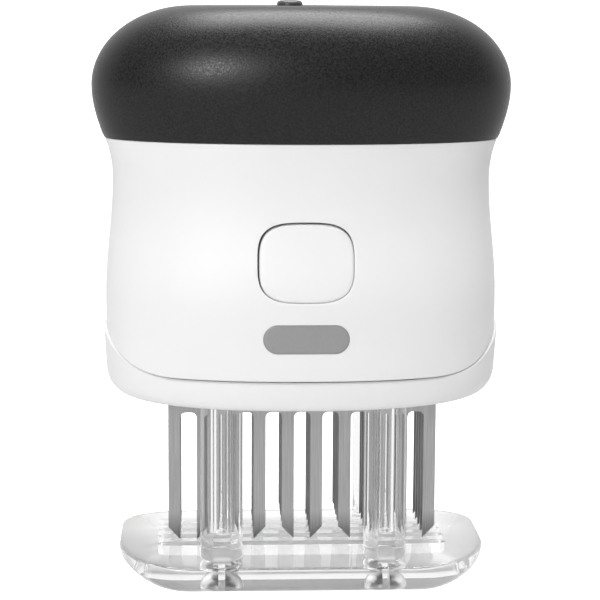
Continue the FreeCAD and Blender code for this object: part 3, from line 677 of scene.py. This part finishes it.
def sole_under(x):
    """The height of the underside, which sweeps up at the two ends."""
    out = max(abs(x) - SOLE_FLAT_X, 0)
    return SOLE_SWEEP_R - math.sqrt(SOLE_SWEEP_R**2 - out * out)


def sheet_across(spots, faces, first, count, height, flip):
    """Closes a rim with strips from front to back that follow the height function."""
    rows = []
    for here in range(count // 2):
        a, b = first + here, first + count - 1 - here
        (xa, ya, _), (xb, yb, _) = spots[a], spots[b]
        row = [a]
        for step in range(1, SOLE_ROWS):
            x, y = xa + (xb - xa) * step / SOLE_ROWS, ya + (yb - ya) * step / SOLE_ROWS
            row.append(len(spots))
            spots.append((x, y, height(x, y)))
        rows.append(row + [b])
    for left, right in zip(rows, rows[1:]):
        for step in range(SOLE_ROWS):
            quad = (left[step], left[step + 1], right[step + 1], right[step])
            faces.append(quad[::-1] if flip else quad)


def pill(reach, radius, steps):
    """A straight-sided outline with round ends, whose centres are reach out on each side."""
    line = []
    for step in range(steps):
        t = 2 * math.pi * (step + 0.5) / steps
        u = math.copysign(reach, math.cos(t)) + radius * math.cos(t)
        line.append((u, radius * math.sin(t)))
    return line


def prism(name, outline, z0, z1, material):
    """An upright cutting block over an outline in (x, y); it is used up by carve."""
    rings = [[(x, y, z) for x, y in outline] for z in (z0, z1)]
    return piece(name, *skin(rings), material)


# Clear SAN, injection moulded in a polished tool: glass-clear with bright edges and a flow
# waviness of 11 mm; the eye reads it by the lines that its walls bend in from the surroundings.
clear_san, tree, shader = new_finish("clear_moulded_san")
place = add(tree, "ShaderNodeTexCoord", {})
flow = add(
    tree,
    "ShaderNodeTexNoise",
    {"Vector": place.outputs["Object"], "Scale": per_metre(11), "Detail": 1.0},
)
relief = add(
    tree, "ShaderNodeBump", {"Height": flow.outputs["Fac"], "Strength": 0.04, "Distance": 0.0002}
)
tree.links.new(relief.outputs["Normal"], shader.inputs["Normal"])
shader.inputs["Base Color"].default_value = linear("#fdfdfd")
shader.inputs["Roughness"].default_value = 0.05
shader.inputs["IOR"].default_value = 1.5
shader.inputs["Transmission Weight"].default_value = 1.0
rays = add(tree, "ShaderNodeLightPath", {})
shadow_pass = add(tree, "ShaderNodeBsdfTransparent", {"Color": linear("#e8e8e8")})
surface = add(
    tree,
    "ShaderNodeMixShader",
    {0: rays.outputs["Is Shadow Ray"], 1: shader.outputs[0], 2: shadow_pass.outputs[0]},
)
tree.links.new(surface.outputs[0], tree.nodes["Material Output"].inputs["Surface"])

# Light crosses a dozen walls of the foot before it leaves, so its paths may be that long.
paths = bpy.context.scene.cycles
paths.max_bounces = 32
paths.glossy_bounces = 24
paths.transmission_bounces = 24

# The same plastic where the tool was etched, on the underside and the webs: frosted, so that the
# sole looks even and pale from above. The frost is drawn 0.7 mm wide, coarser than a real one, so
# that it shows.
etched_san, tree, shader = new_finish("etched_clear_san")
place = add(tree, "ShaderNodeTexCoord", {})
etching = add(
    tree,
    "ShaderNodeTexNoise",
    {"Vector": place.outputs["Object"], "Scale": per_metre(0.7), "Detail": 2.0},
)
relief = add(
    tree, "ShaderNodeBump", {"Height": etching.outputs["Fac"], "Strength": 0.3, "Distance": 0.00004}
)
tree.links.new(relief.outputs["Normal"], shader.inputs["Normal"])
shader.inputs["Base Color"].default_value = linear("#fdfdfd")
shader.inputs["Roughness"].default_value = 0.32
shader.inputs["IOR"].default_value = 1.5
shader.inputs["Transmission Weight"].default_value = 1.0

# Painted shade: the slot walls are tinted light grey, so that each crossing dims the light and the
# slots read as darker lines. The pockets' domes are painted dark grey, so that they look dark
# through the posts.
# Painted shade: a light grey on the slot walls darkens the slots a little at each crossing.
slot_shade_san = etched_san.copy()
slot_shade_san.name = "slot_painted_shade_san"
slot_shade_san.node_tree.nodes["Principled BSDF"].inputs["Base Color"].default_value = linear("#f6f6f6")
# Painted shade: a dark grey on the pocket walls, for the dark seen through the posts.
pocket_shade_san = etched_san.copy()
pocket_shade_san.name = "pocket_painted_shade_san"
pocket_shade_san.node_tree.nodes["Principled BSDF"].inputs["Base Color"].default_value = linear("#565656")

rings = []
for inset, rise in SOLE_ROUND:
    rings.append([(x, y, sole_under(x) + rise) for x, y in sole_outline(inset)])
for inset, drop in reversed(SOLE_ROUND):
    rings.append([(x, y, sole_top(y) - drop) for x, y in sole_outline(inset)])
spots, faces = skin(rings)
faces = faces[:-2]  # the sheets take the place of the two flat ends
count = len(rings[0])
sheet_across(spots, faces, 0, count, lambda x, y: sole_under(x), False)
sheet_across(spots, faces, (len(rings) - 1) * count, count, lambda x, y: sole_top(y), True)
guard = piece("clear_guard_foot", spots, faces, clear_san)
guard.data.materials.append(etched_san)
for face in guard.data.polygons:
    if face.normal.z < -0.5:
        face.material_index = 1
tools = []
for row_y in row_ys:
    ends = pill(SLOT_HALF - SLOT_WIDTH / 2, SLOT_WIDTH / 2, SLOT_STEPS)
    outline = [(x, row_y + y) for x, y in ends]
    tools.append(prism("slot", outline, -PAST, SOLE_TOP_Z + PAST, slot_shade_san))
carve(guard, tools)
rib_profile = RIB_FOOT + ((RIB_FRONT_Y, LIP_Z), (POST_Y, LIP_Z), (POST_Y, RIB_LOW_Z))
dome_profile = [(POCKET_R, -PAST)] + [(POCKET_R * share, z) for z, share in POCKET_DOME]
posts = []
hollows = []
for sx, sy in CORNERS:
    x, y = sx * POST_X, sy * POST_Y
    post = rod("post", POST_R, x, y, POST_BOTTOM_Z, LIP_Z, clear_san)
    stem = rod("stem", STEM_R, x, y, LIP_Z - PAST, STEM_TOP_Z, clear_san)
    sides = [[(side, sy * u, z) for u, z in rib_profile] for side in (x - RIB_HALF, x + RIB_HALF)]
    rib = piece("rib", *skin(sides), clear_san)
    posts.append(carve(post, [stem, rib], "UNION"))
    # The pocket's curved walls carry the painted shade; its flat ends keep the etched finish.
    pocket = piece("pocket", *skin(turned_rings(dome_profile, POCKET_STEPS, x, y)), pocket_shade_san)
    pocket.data.materials.append(etched_san)
    for face in pocket.data.polygons:
        if abs(face.normal.z) > 0.97:
            face.material_index = 1
    across = (x - WEB_HALF, x + WEB_HALF, y - WEB_REACH, y + WEB_REACH)
    web = block("web", *across, -2 * PAST, RIB_LOW_Z, etched_san)
    hollows.append(carve(pocket, [web]))
    hollows.append(rod("bore", BORE_R, x, y, BORE_LOW_Z, STEM_TOP_Z + PAST, clear_san))
carve(guard, posts, "UNION")
carve(guard, hollows)
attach(guard, "guard")
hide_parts("guard_foot")

# ---- Crosshead ----
# The frame that ties the four stems together, moulded in the carrier's acetal and screwed on top
# of them; the return springs stand on its two spigots.
dress("crosshead", moulded_acetal)

# ---- Return springs ----
# Two compression springs wound from 1.1 mm spring wire with closed ends, between the crosshead
# and the spring plate; they close up as the guard is pushed in.
RETURN_R = 4.95
RETURN_WIRE = 1.1
RETURN_TURNS = 6
RETURN_LENGTH = 44.0
RETURN_X = 12.2


def coil(radius, wire, turns, length):
    """A spring about +Z from z = 0, with flattened end turns."""
    steps, sides = 28, 10
    closed = 0.75
    flat = closed / turns
    rings = []
    total = turns * steps
    for step in range(total + 1):
        share = step / total
        t = 2 * math.pi * step / steps
        climb = min(max((share - flat) / (1 - 2 * flat), 0), 1)
        lead = min(share, flat) + max(share - 1 + flat, 0)
        z = wire / 2 + (length - wire - 2 * wire * closed) * climb + lead / flat * wire * closed
        outward = Vector((math.cos(t), math.sin(t), 0))
        middle = outward * radius + Vector((0, 0, z))
        ring = []
        for u, v in oval(wire / 2, wire / 2, 2, sides):
            ring.append(middle + outward * u + Vector((0, 0, v)))
        rings.append(ring)
    return skin(rings)


# Music wire, drawn and oiled: darker and smoother than the screws, with drawing marks of 0.55 mm,
# coarser than real ones, so that they show.
spring_wire, tree, shader = new_finish("drawn_spring_wire")
place = add(tree, "ShaderNodeTexCoord", {})
drawn = add(
    tree,
    "ShaderNodeTexNoise",
    {"Vector": place.outputs["Object"], "Scale": per_metre(0.55), "Detail": 3.0},
)
tone = add(tree, "ShaderNodeValToRGB", {"Fac": drawn.outputs["Fac"]})
tone.color_ramp.elements[0].color = linear("#8f8f90")
tone.color_ramp.elements[1].color = linear("#b7b7b8")
tree.links.new(tone.outputs["Color"], shader.inputs["Base Color"])
shader.inputs["Metallic"].default_value = 1.0
shader.inputs["Roughness"].default_value = 0.25

spots, faces = coil(RETURN_R, RETURN_WIRE, RETURN_TURNS, RETURN_LENGTH)
pair_spots, pair_faces = [], []
for x in (RETURN_X, -RETURN_X):
    start = len(pair_spots)
    pair_spots += [Vector(spot) + Vector((x, 0, CROSSHEAD_SEAT_Z)) for spot in spots]
    pair_faces += [tuple(start + v for v in face) for face in faces]
springs = piece("return_spring_pair", pair_spots, pair_faces, spring_wire, 60)
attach(springs, "base")
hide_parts("return_springs")
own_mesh(springs)

# ---- Upper shell ----
# The white housing: an upright belly that narrows to a waist and flares again under the grip,
# open below, with a rounded hole for the release button. Moulded in the same ABS as the cup.
SEAM_GAP = 0.3
HOUSING_WALL = 2.0
DECK_TOP_Z = 112.45
DECK_BOTTOM_Z = 110.65
DECK_ROUND = 0.25
DECK_HOLE = (40, 16, 14.5, 7.5)  # half sizes in x and y, then how far its corners are cut
BUTTON_Z = 83.4
BUTTON_X = 11.6
BUTTON_H = 9.45
BUTTON_POWER = 3.25
MOUTH_LEFT, MOUTH_UP = 0.13, 0.17
MARK_Z = 64.8
MARK_X = 10.65
MARK_H = 3.6
MARK_DEPTH = 0.3


def front_y(x, z):
    """Where the housing's front surface is."""
    half_x, half_y, power = body_plan(z)
    return -half_y * (1 - min(abs(x) / half_x, 1) ** power) ** (1 / power)


def button_outline(grow):
    """The button's rounded outline in (x, z), grown by grow."""
    line = oval(BUTTON_X + grow, BUTTON_H + grow, BUTTON_POWER, 120)
    return [(x, BUTTON_Z + z) for x, z in line]


def mark_outline(grow):
    """The mark's pill outline in (x, z), grown by grow."""
    return [(x, MARK_Z + z) for x, z in pill(MARK_X - MARK_H, MARK_H + grow, 64)]


def sunk(line_of, levels):
    """Rings of an outline grown by each level's first number, that far below the front."""
    rings = []
    for grow, depth in levels:
        rings.append([(x, front_y(x, z) + depth, z) for x, z in line_of(grow)])
    return rings


def bevelled(half_x, half_y, bevel_x, bevel_y):
    """A rectangle's outline with its four corners cut off."""
    quarter = [(half_x, half_y - bevel_y), (half_x - bevel_x, half_y)]
    line = quarter + [(-x, y) for x, y in reversed(quarter)]
    return line + [(-x, -y) for x, y in line]


outer = []
for inset, rise in ((0.35, 0), (0.12, 0.04), (0.02, 0.16), (0, 0.4)):
    outer.append(seam_ring(inset, SEAM_GAP + rise))
rim = outer[-1]
for step in range(1, 7):
    outer.append([(x, y, z + (BELLY_TOP_Z - z) * step / 6) for x, y, z in rim])
outer += [body_ring(BELLY_TOP_Z + (WAIST_Z - BELLY_TOP_Z) * step / 24) for step in range(1, 25)]
for step in range(1, 11):
    outer.append(body_ring(WAIST_Z + (DECK_TOP_Z - DECK_ROUND - WAIST_Z) * step / 10))
outer += [body_ring(DECK_TOP_Z - 0.07, 0.07), body_ring(DECK_TOP_Z, DECK_ROUND)]
inner = [seam_ring(HOUSING_WALL, SEAM_GAP)]
for step in range(17):
    inner.append(body_ring(BELLY_TOP_Z + (DECK_BOTTOM_Z - BELLY_TOP_Z) * step / 16, HOUSING_WALL))
shell = piece("white_shell", *skin(inner[::-1] + outer), white_abs)
deck_cut = (DECK_BOTTOM_Z - PAST, DECK_TOP_Z + PAST)
tools = [prism("deck_hole", bevelled(*DECK_HOLE), *deck_cut, white_abs)]
mouth = sunk(button_outline, [(0.75, -1.5), (0.75, -0.1), (0.45, 0.05), (0.35, 0.35), (0.35, 5.5)])
mouth = [[(x - MOUTH_LEFT, y, z + MOUTH_UP) for x, y, z in ring] for ring in mouth]
tools.append(piece("button_mouth", *skin(mouth), white_abs))
seat = sunk(mark_outline, [(0.06, -PAST), (0.06, MARK_DEPTH)])
tools.append(piece("mark_seat", *skin(seat), white_abs))
carve(shell, tools)
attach(shell, "head")
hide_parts("upper_shell")

# ---- Mark on the front ----
# A plain grey pill let flush into the front of the housing, moulded on its own in ABS and
# pressed in.

# Grey ABS, moulded in an etched tool: an even satin grey with a grain of 0.38 mm, coarser than
# the real one, so that it shows.
grey_abs, tree, shader = new_finish("etched_grey_abs")
place = add(tree, "ShaderNodeTexCoord", {})
grain = add(
    tree,
    "ShaderNodeTexNoise",
    {"Vector": place.outputs["Object"], "Scale": per_metre(0.38), "Detail": 2.0},
)
tone = add(tree, "ShaderNodeValToRGB", {"Fac": grain.outputs["Fac"]})
tone.color_ramp.elements[0].color = linear("#909091")
tone.color_ramp.elements[1].color = linear("#9a9a9b")
relief = add(
    tree, "ShaderNodeBump", {"Height": grain.outputs["Fac"], "Strength": 0.3, "Distance": 0.00003}
)
tree.links.new(tone.outputs["Color"], shader.inputs["Base Color"])
tree.links.new(relief.outputs["Normal"], shader.inputs["Normal"])
shader.inputs["Roughness"].default_value = 0.4

levels = [(0.0, MARK_DEPTH - 0.02), (0.0, 0.1), (-0.08, 0.03)]
levels += [(-shrink, 0.02) for shrink in (0.7, 1.5, 2.4, 3.2)]
mark = piece("front_mark", *skin(sunk(mark_outline, levels)), grey_abs, 50)
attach(mark, "head")

# ---- Release button, its latch, spring and brace ----
# The push button, moulded in the housing's ABS, sits flush in the shell. Behind it an acetal
# latch plate holds the head on the cup's tongue, and a small spring pushes both out again from a
# bridge across the shell.
BUTTON_BACK_Y = -25.4
SKIRT_GROW = 0.14
SKIRT_DEPTH = 0.75
SKIRT_DROP = 2.2
HUB_X, HUB_Z = 5.0, 4.0
HUB_BACK_Y = -24.05
BUTTON_SPRING_R = 2.6
BUTTON_SPRING_WIRE = 0.6
BUTTON_SPRING_TURNS = 3
BUTTON_SPRING_LENGTH = 5.3
BUTTON_SPRING_Y = -22.35

# The skirt starts below the face, deepest at the top left, where the gap round it is widest.
button_rings = []
for share in (1.0, 0.5, 0.0):
    ring = []
    for x, z in button_outline(SKIRT_GROW):
        slope = max((z - BUTTON_Z) / BUTTON_H - 0.5 * x / BUTTON_X, 0)
        top_y = front_y(x, z) + SKIRT_DEPTH + SKIRT_DROP * slope
        ring.append((x, top_y + (BUTTON_BACK_Y - top_y) * share, z))
    button_rings.append(ring)
levels = [(0.0, 0.7), (0.0, 0.5), (-0.06, 0.25), (-0.25, 0.1), (-0.55, 0.03), (-1.0, 0.01)]
levels += [(-shrink, 0.0) for shrink in (2.0, 3.5, 5.0, 6.5, 8.0, 9.2)]
button_rings += sunk(button_outline, levels)
button = piece("push_button", *skin(button_rings), white_abs, 50)
hub_sides = (-HUB_X, HUB_X, BUTTON_BACK_Y - 0.5, HUB_BACK_Y, BUTTON_Z - HUB_Z, BUTTON_Z + HUB_Z)
carve(button, [block("hub", *hub_sides, white_abs)], "UNION")
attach(button, "button")
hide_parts("release_button")
dress("latch_slide", moulded_acetal)
dress("button_brace", white_abs)

spots, faces = coil(
    BUTTON_SPRING_R, BUTTON_SPRING_WIRE, BUTTON_SPRING_TURNS, BUTTON_SPRING_LENGTH
)
towards_back = Matrix.Rotation(math.radians(-90), 3, "X")
spots = [towards_back @ Vector(spot) + Vector((0, BUTTON_SPRING_Y, BUTTON_Z)) for spot in spots]
spring = piece("button_return_spring", spots, faces, spring_wire, 60)
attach(spring, "head")
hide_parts("button_spring")
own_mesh(spring)

# ---- Handle core and spring plate ----
# The stiff hollow core under the grip and the plate that closes it from below, clamped together
# on the shell's deck. Both are moulded in glass-filled nylon.

# Nylon with glass fibre, moulded: dull grey with short pale fibres near the surface, drawn
# 0.65 mm wide, coarser than real ones, so that they show.
filled_nylon, tree, shader = new_finish("moulded_glass_filled_nylon")
place = add(tree, "ShaderNodeTexCoord", {})
fibres = add(
    tree,
    "ShaderNodeTexNoise",
    {"Vector": place.outputs["Object"], "Scale": per_metre(0.65), "Detail": 5.0, "Distortion": 1.5},
)
tone = add(tree, "ShaderNodeValToRGB", {"Fac": fibres.outputs["Fac"]})
tone.color_ramp.elements[0].color = linear("#6c6c6a")
tone.color_ramp.elements[1].color = linear("#9a9a97")
tree.links.new(tone.outputs["Color"], shader.inputs["Base Color"])
shader.inputs["Roughness"].default_value = 0.6
dress("handle_core", filled_nylon)
dress("spring_plate", filled_nylon)

# ---- Grip ----
# The black soft cover of the T-shaped handle, moulded over the core: full and rounded all over,
# with a small flat on top where the lock knob slides in its recess.
GRIP_EDGE_X, GRIP_EDGE_Y = 50.9, 26.5
GRIP_X, GRIP_Y = 53.9, 29.2
GRIP_WIDEST_Z = 125.8
GRIP_TOP_Z = 146.0
GRIP_FLAT_X, GRIP_FLAT_Y = 28.3, 15.3
SOCKET = (43.05, 20.05, 16.03, 9.53)  # half sizes in x and y, then how far its corners are cut
SOCKET_ROOF = (36.05, 14.05, 12.53, 6.53)
SOCKET_TOP_Z = 131.05
SOCKET_ROOF_Z = 138.05
LOCK_ROOM_X = 8.55
LOCK_ROOM_FRONT_Y, LOCK_ROOM_BACK_Y = -4.35, 6.0
LOCK_ROOM_TOP_Z = 140.4
LOCK_SLOT_X, LOCK_SLOT_Y = 5.75, 1.85
RECESS_REACH, RECESS_R = 3.2, 4.2
RECESS_DEPTH = 1.3

# Thermoplastic elastomer, moulded in a spark-eroded tool: near-black and dull, with a grain that
# breaks up a broad soft highlight, drawn 0.5 mm wide, coarser than a real one, so that it shows.
soft_touch, tree, shader = new_finish("spark_grained_soft_tpe")
place = add(tree, "ShaderNodeTexCoord", {})
grain = add(
    tree,
    "ShaderNodeTexNoise",
    {"Vector": place.outputs["Object"], "Scale": per_metre(0.5), "Detail": 2.0, "Roughness": 0.6},
)
tone = add(tree, "ShaderNodeValToRGB", {"Fac": grain.outputs["Fac"]})
tone.color_ramp.elements[0].position = 0.35
tone.color_ramp.elements[0].color = linear("#050505")
tone.color_ramp.elements[1].position = 0.65
tone.color_ramp.elements[1].color = linear("#1d1d1d")
relief = add(
    tree, "ShaderNodeBump", {"Height": grain.outputs["Fac"], "Strength": 0.5, "Distance": 0.00007}
)
dulled = add(
    tree,
    "ShaderNodeMapRange",
    {
        "Value": grain.outputs["Fac"],
        "From Min": 0.3,
        "From Max": 0.7,
        "To Min": 0.29,
        "To Max": 0.47,
    },
)
tree.links.new(tone.outputs["Color"], shader.inputs["Base Color"])
tree.links.new(dulled.outputs["Result"], shader.inputs["Roughness"])
tree.links.new(relief.outputs["Normal"], shader.inputs["Normal"])
shader.inputs["IOR"].default_value = 1.5
shader.inputs["Specular IOR Level"].default_value = 0.34


def grip_ring(near_x, near_y, share, z):
    """One level of the grip, that share of the way from a near plan out to its widest."""
    half_x = near_x + (GRIP_X - near_x) * share
    half_y = near_y + (GRIP_Y - near_y) * share
    return plan_ring(half_x, half_y, SHOULDER_POWER, z)


rings = []
for inset, rise in ((0.5, 0), (0.1, 0.12)):
    rings.append(grip_ring(GRIP_EDGE_X - inset, GRIP_EDGE_Y - inset, 0, SHOULDER_Z + rise))
for step in range(1, 13):
    z = SHOULDER_Z + (GRIP_WIDEST_Z - SHOULDER_Z) * step / 12
    rings.append(grip_ring(GRIP_EDGE_X, GRIP_EDGE_Y, math.sin(math.pi / 2 * step / 12), z))
for turn in range(3, 91, 3):
    up = math.radians(turn)
    z = GRIP_WIDEST_Z + (GRIP_TOP_Z - GRIP_WIDEST_Z) * math.sin(up)
    rings.append(grip_ring(GRIP_FLAT_X, GRIP_FLAT_Y, math.cos(up), z))
grip = piece("soft_grip_cover", *skin(rings), soft_touch)
recess = pill(RECESS_REACH, RECESS_R, 32)
room_sides = (-LOCK_ROOM_X, LOCK_ROOM_X, LOCK_ROOM_FRONT_Y, LOCK_ROOM_BACK_Y)
slot_sides = (-LOCK_SLOT_X, LOCK_SLOT_X, -LOCK_SLOT_Y, LOCK_SLOT_Y)
tools = [
    prism("socket", bevelled(*SOCKET), SHOULDER_Z - PAST, SOCKET_TOP_Z, soft_touch),
    prism("socket_roof", bevelled(*SOCKET_ROOF), SHOULDER_Z - PAST, SOCKET_ROOF_Z, soft_touch),
    block("lock_room", *room_sides, SOCKET_ROOF_Z - PAST, LOCK_ROOM_TOP_Z, soft_touch),
    block("lock_slot", *slot_sides, SOCKET_ROOF_Z, GRIP_TOP_Z, soft_touch),
    prism("recess", recess, GRIP_TOP_Z - RECESS_DEPTH, GRIP_TOP_Z + PAST, soft_touch),
]
carve(grip, tools)
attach(grip, "head")
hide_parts("grip_cover")

# ---- Guard lock: bar, detent leaf and knob ----
# A flat acetal bar slides sideways under the moulded thumb knob in the grip; a bowed steel leaf
# beside its flange makes it click into its two places.
KNOB_R = 3.3
KNOB_X = -3.2
KNOB_LOW_Z = 145.05
KNOB_RIM_Z = 146.4
KNOB_ROUND = 1.1
KNOB_CROWN = 0.95
KNOB_TIP = ((1.4, 147.44), (0.5, 147.49))  # the radius and height of its last two rings
KNOB_STEPS = 40

# Acetal, moulded with carbon black in an etched tool: dark grey, satin, smoother than the grip,
# with a grain of 0.33 mm, coarser than the real one, so that it shows.
dark_acetal, tree, shader = new_finish("etched_dark_acetal")
place = add(tree, "ShaderNodeTexCoord", {})
grain = add(
    tree,
    "ShaderNodeTexNoise",
    {"Vector": place.outputs["Object"], "Scale": per_metre(0.33), "Detail": 2.0},
)
tone = add(tree, "ShaderNodeValToRGB", {"Fac": grain.outputs["Fac"]})
tone.color_ramp.elements[0].color = linear("#3b3b3c")
tone.color_ramp.elements[1].color = linear("#474748")
tree.links.new(tone.outputs["Color"], shader.inputs["Base Color"])
shader.inputs["Roughness"].default_value = 0.38

profile = [(KNOB_R, KNOB_LOW_Z), (KNOB_R, KNOB_RIM_Z)]
for turn in range(10, 91, 10):
    t = math.radians(turn)
    radius = KNOB_R - KNOB_ROUND + KNOB_ROUND * math.cos(t)
    profile.append((radius, KNOB_RIM_Z + KNOB_CROWN * math.sin(t)))
profile += KNOB_TIP
knob = piece("thumb_knob", *skin(turned_rings(profile, KNOB_STEPS, KNOB_X)), dark_acetal)
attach(knob, "lock")
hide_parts("lock_knob")
dress("lock_bar", moulded_acetal)
dress("lock_detent", plated_steel)

# ---- Floor, light and camera ----
# A sweep of white paper, a small soft box at the front left, a large one overhead and a dim room;
# the camera stands a little left of the middle and just above the grip.
SWEEP_HALF = 4000
SWEEP_DROP = 0.1
SWEEP_FRONT_Y, SWEEP_BEND_Y = -4000, 500
SWEEP_BEND = 300
SWEEP_TOP_Z = 1400
PAPER_SEEN = 0.82
ROOM_LEVEL = 0.46
ROOM_SEEN_THROUGH = 0.6

# White paper, uncoated: matt. The camera, reflections and the clear foot see it white, while it
# takes the part's shadow and lights the part as plain paper does.
white_paper, tree, shader = new_finish("uncoated_white_paper")
rays = add(tree, "ShaderNodeLightPath", {})
shader.inputs["Base Color"].default_value = linear("#c4c4c4")
shader.inputs["Roughness"].default_value = 0.9
shader.inputs["Specular IOR Level"].default_value = 0.0
shader.inputs["Emission Color"].default_value = linear("#ffffff")
lift = add(
    tree,
    "ShaderNodeMath",
    {0: rays.outputs["Is Camera Ray"], 1: PAPER_SEEN},
    operation="MULTIPLY",
)
tree.links.new(lift.outputs[0], shader.inputs["Emission Strength"])
mirrored = add(
    tree,
    "ShaderNodeMath",
    {0: rays.outputs["Is Glossy Ray"], 1: rays.outputs["Is Transmission Ray"]},
    operation="MAXIMUM",
)
plain_white = add(tree, "ShaderNodeEmission", {"Color": linear("#ffffff"), "Strength": 1.0})
surface = add(
    tree,
    "ShaderNodeMixShader",
    {0: mirrored.outputs[0], 1: shader.outputs[0], 2: plain_white.outputs[0]},
)
tree.links.new(surface.outputs[0], tree.nodes["Material Output"].inputs["Surface"])

sweep_line = [(SWEEP_FRONT_Y, 0), (SWEEP_BEND_Y, 0)]
for turn in range(10, 91, 10):
    t = math.radians(turn)
    y = SWEEP_BEND_Y + SWEEP_BEND * math.sin(t)
    sweep_line.append((y, SWEEP_BEND * (1 - math.cos(t))))
sweep_line.append((SWEEP_BEND_Y + SWEEP_BEND, SWEEP_TOP_Z))
spots, faces = [], []
for y, z in sweep_line:
    spots += [(-SWEEP_HALF, y, z - SWEEP_DROP), (SWEEP_HALF, y, z - SWEEP_DROP)]
for step in range(len(sweep_line) - 1):
    faces.append((2 * step, 2 * step + 1, 2 * step + 3, 2 * step + 2))
sweep = piece("sweep", spots, faces, white_paper)

# The room is dim to plain light, whiter through the clear foot, and white to the camera.
world = bpy.data.worlds.new("studio_room")
bpy.context.scene.world = world
world.use_nodes = True
tree = world.node_tree
back = tree.nodes["Background"]
rays = add(tree, "ShaderNodeLightPath", {})
white_for = add(
    tree,
    "ShaderNodeMath",
    {
        0: rays.outputs["Is Transmission Ray"],
        1: ROOM_SEEN_THROUGH,
        2: rays.outputs["Is Camera Ray"],
    },
    operation="MULTIPLY_ADD",
)
level = add(
    tree,
    "ShaderNodeMapRange",
    {"Value": white_for.outputs[0], "To Min": ROOM_LEVEL, "To Max": 1.0},
)
back.inputs["Color"].default_value = linear("#ffffff")
tree.links.new(level.outputs["Result"], back.inputs["Strength"])


def soft_box(name, place_mm, aim_mm, width_mm, depth_mm, power):
    """A rectangular lamp that faces a point."""
    lamp = bpy.data.lights.new(name, "AREA")
    lamp.shape = "RECTANGLE"
    lamp.size = width_mm * MM
    lamp.size_y = depth_mm * MM
    lamp.energy = power
    made = bpy.data.objects.new(name, lamp)
    made.location = Vector(place_mm) * MM
    made.rotation_euler = (Vector(aim_mm) - Vector(place_mm)).to_track_quat("-Z", "Y").to_euler()
    bpy.context.scene.collection.objects.link(made)


soft_box("soft_box_left", (-408, -780, 439), (0, 0, 90), 155, 155, 3.7)
soft_box("soft_box_top", (30, 95, 700), (15, 35, 100), 500, 440, 7.0)

CAMERA_AT = Vector((-24.76, -505.84, 151.31)) * MM
HEADING = math.radians(2.776)
PITCH = math.radians(8.10)
ROLL = math.radians(0.294)
camera_data = bpy.data.cameras.new("camera")
camera_data.sensor_width = 36.0
camera_data.lens = 117.76
camera_data.shift_y = -0.06
camera = bpy.data.objects.new("camera", camera_data)
look = Vector(
    (math.sin(HEADING) * math.cos(PITCH), math.cos(HEADING) * math.cos(PITCH), -math.sin(PITCH))
)
camera.location = CAMERA_AT
aimed = look.to_track_quat("-Z", "Y").to_matrix() @ Matrix.Rotation(ROLL, 3, "Z")
camera.rotation_euler = aimed.to_euler()
bpy.context.scene.collection.objects.link(camera)
bpy.context.scene.camera = camera
bpy.context.scene.view_settings.view_transform = "Standard"
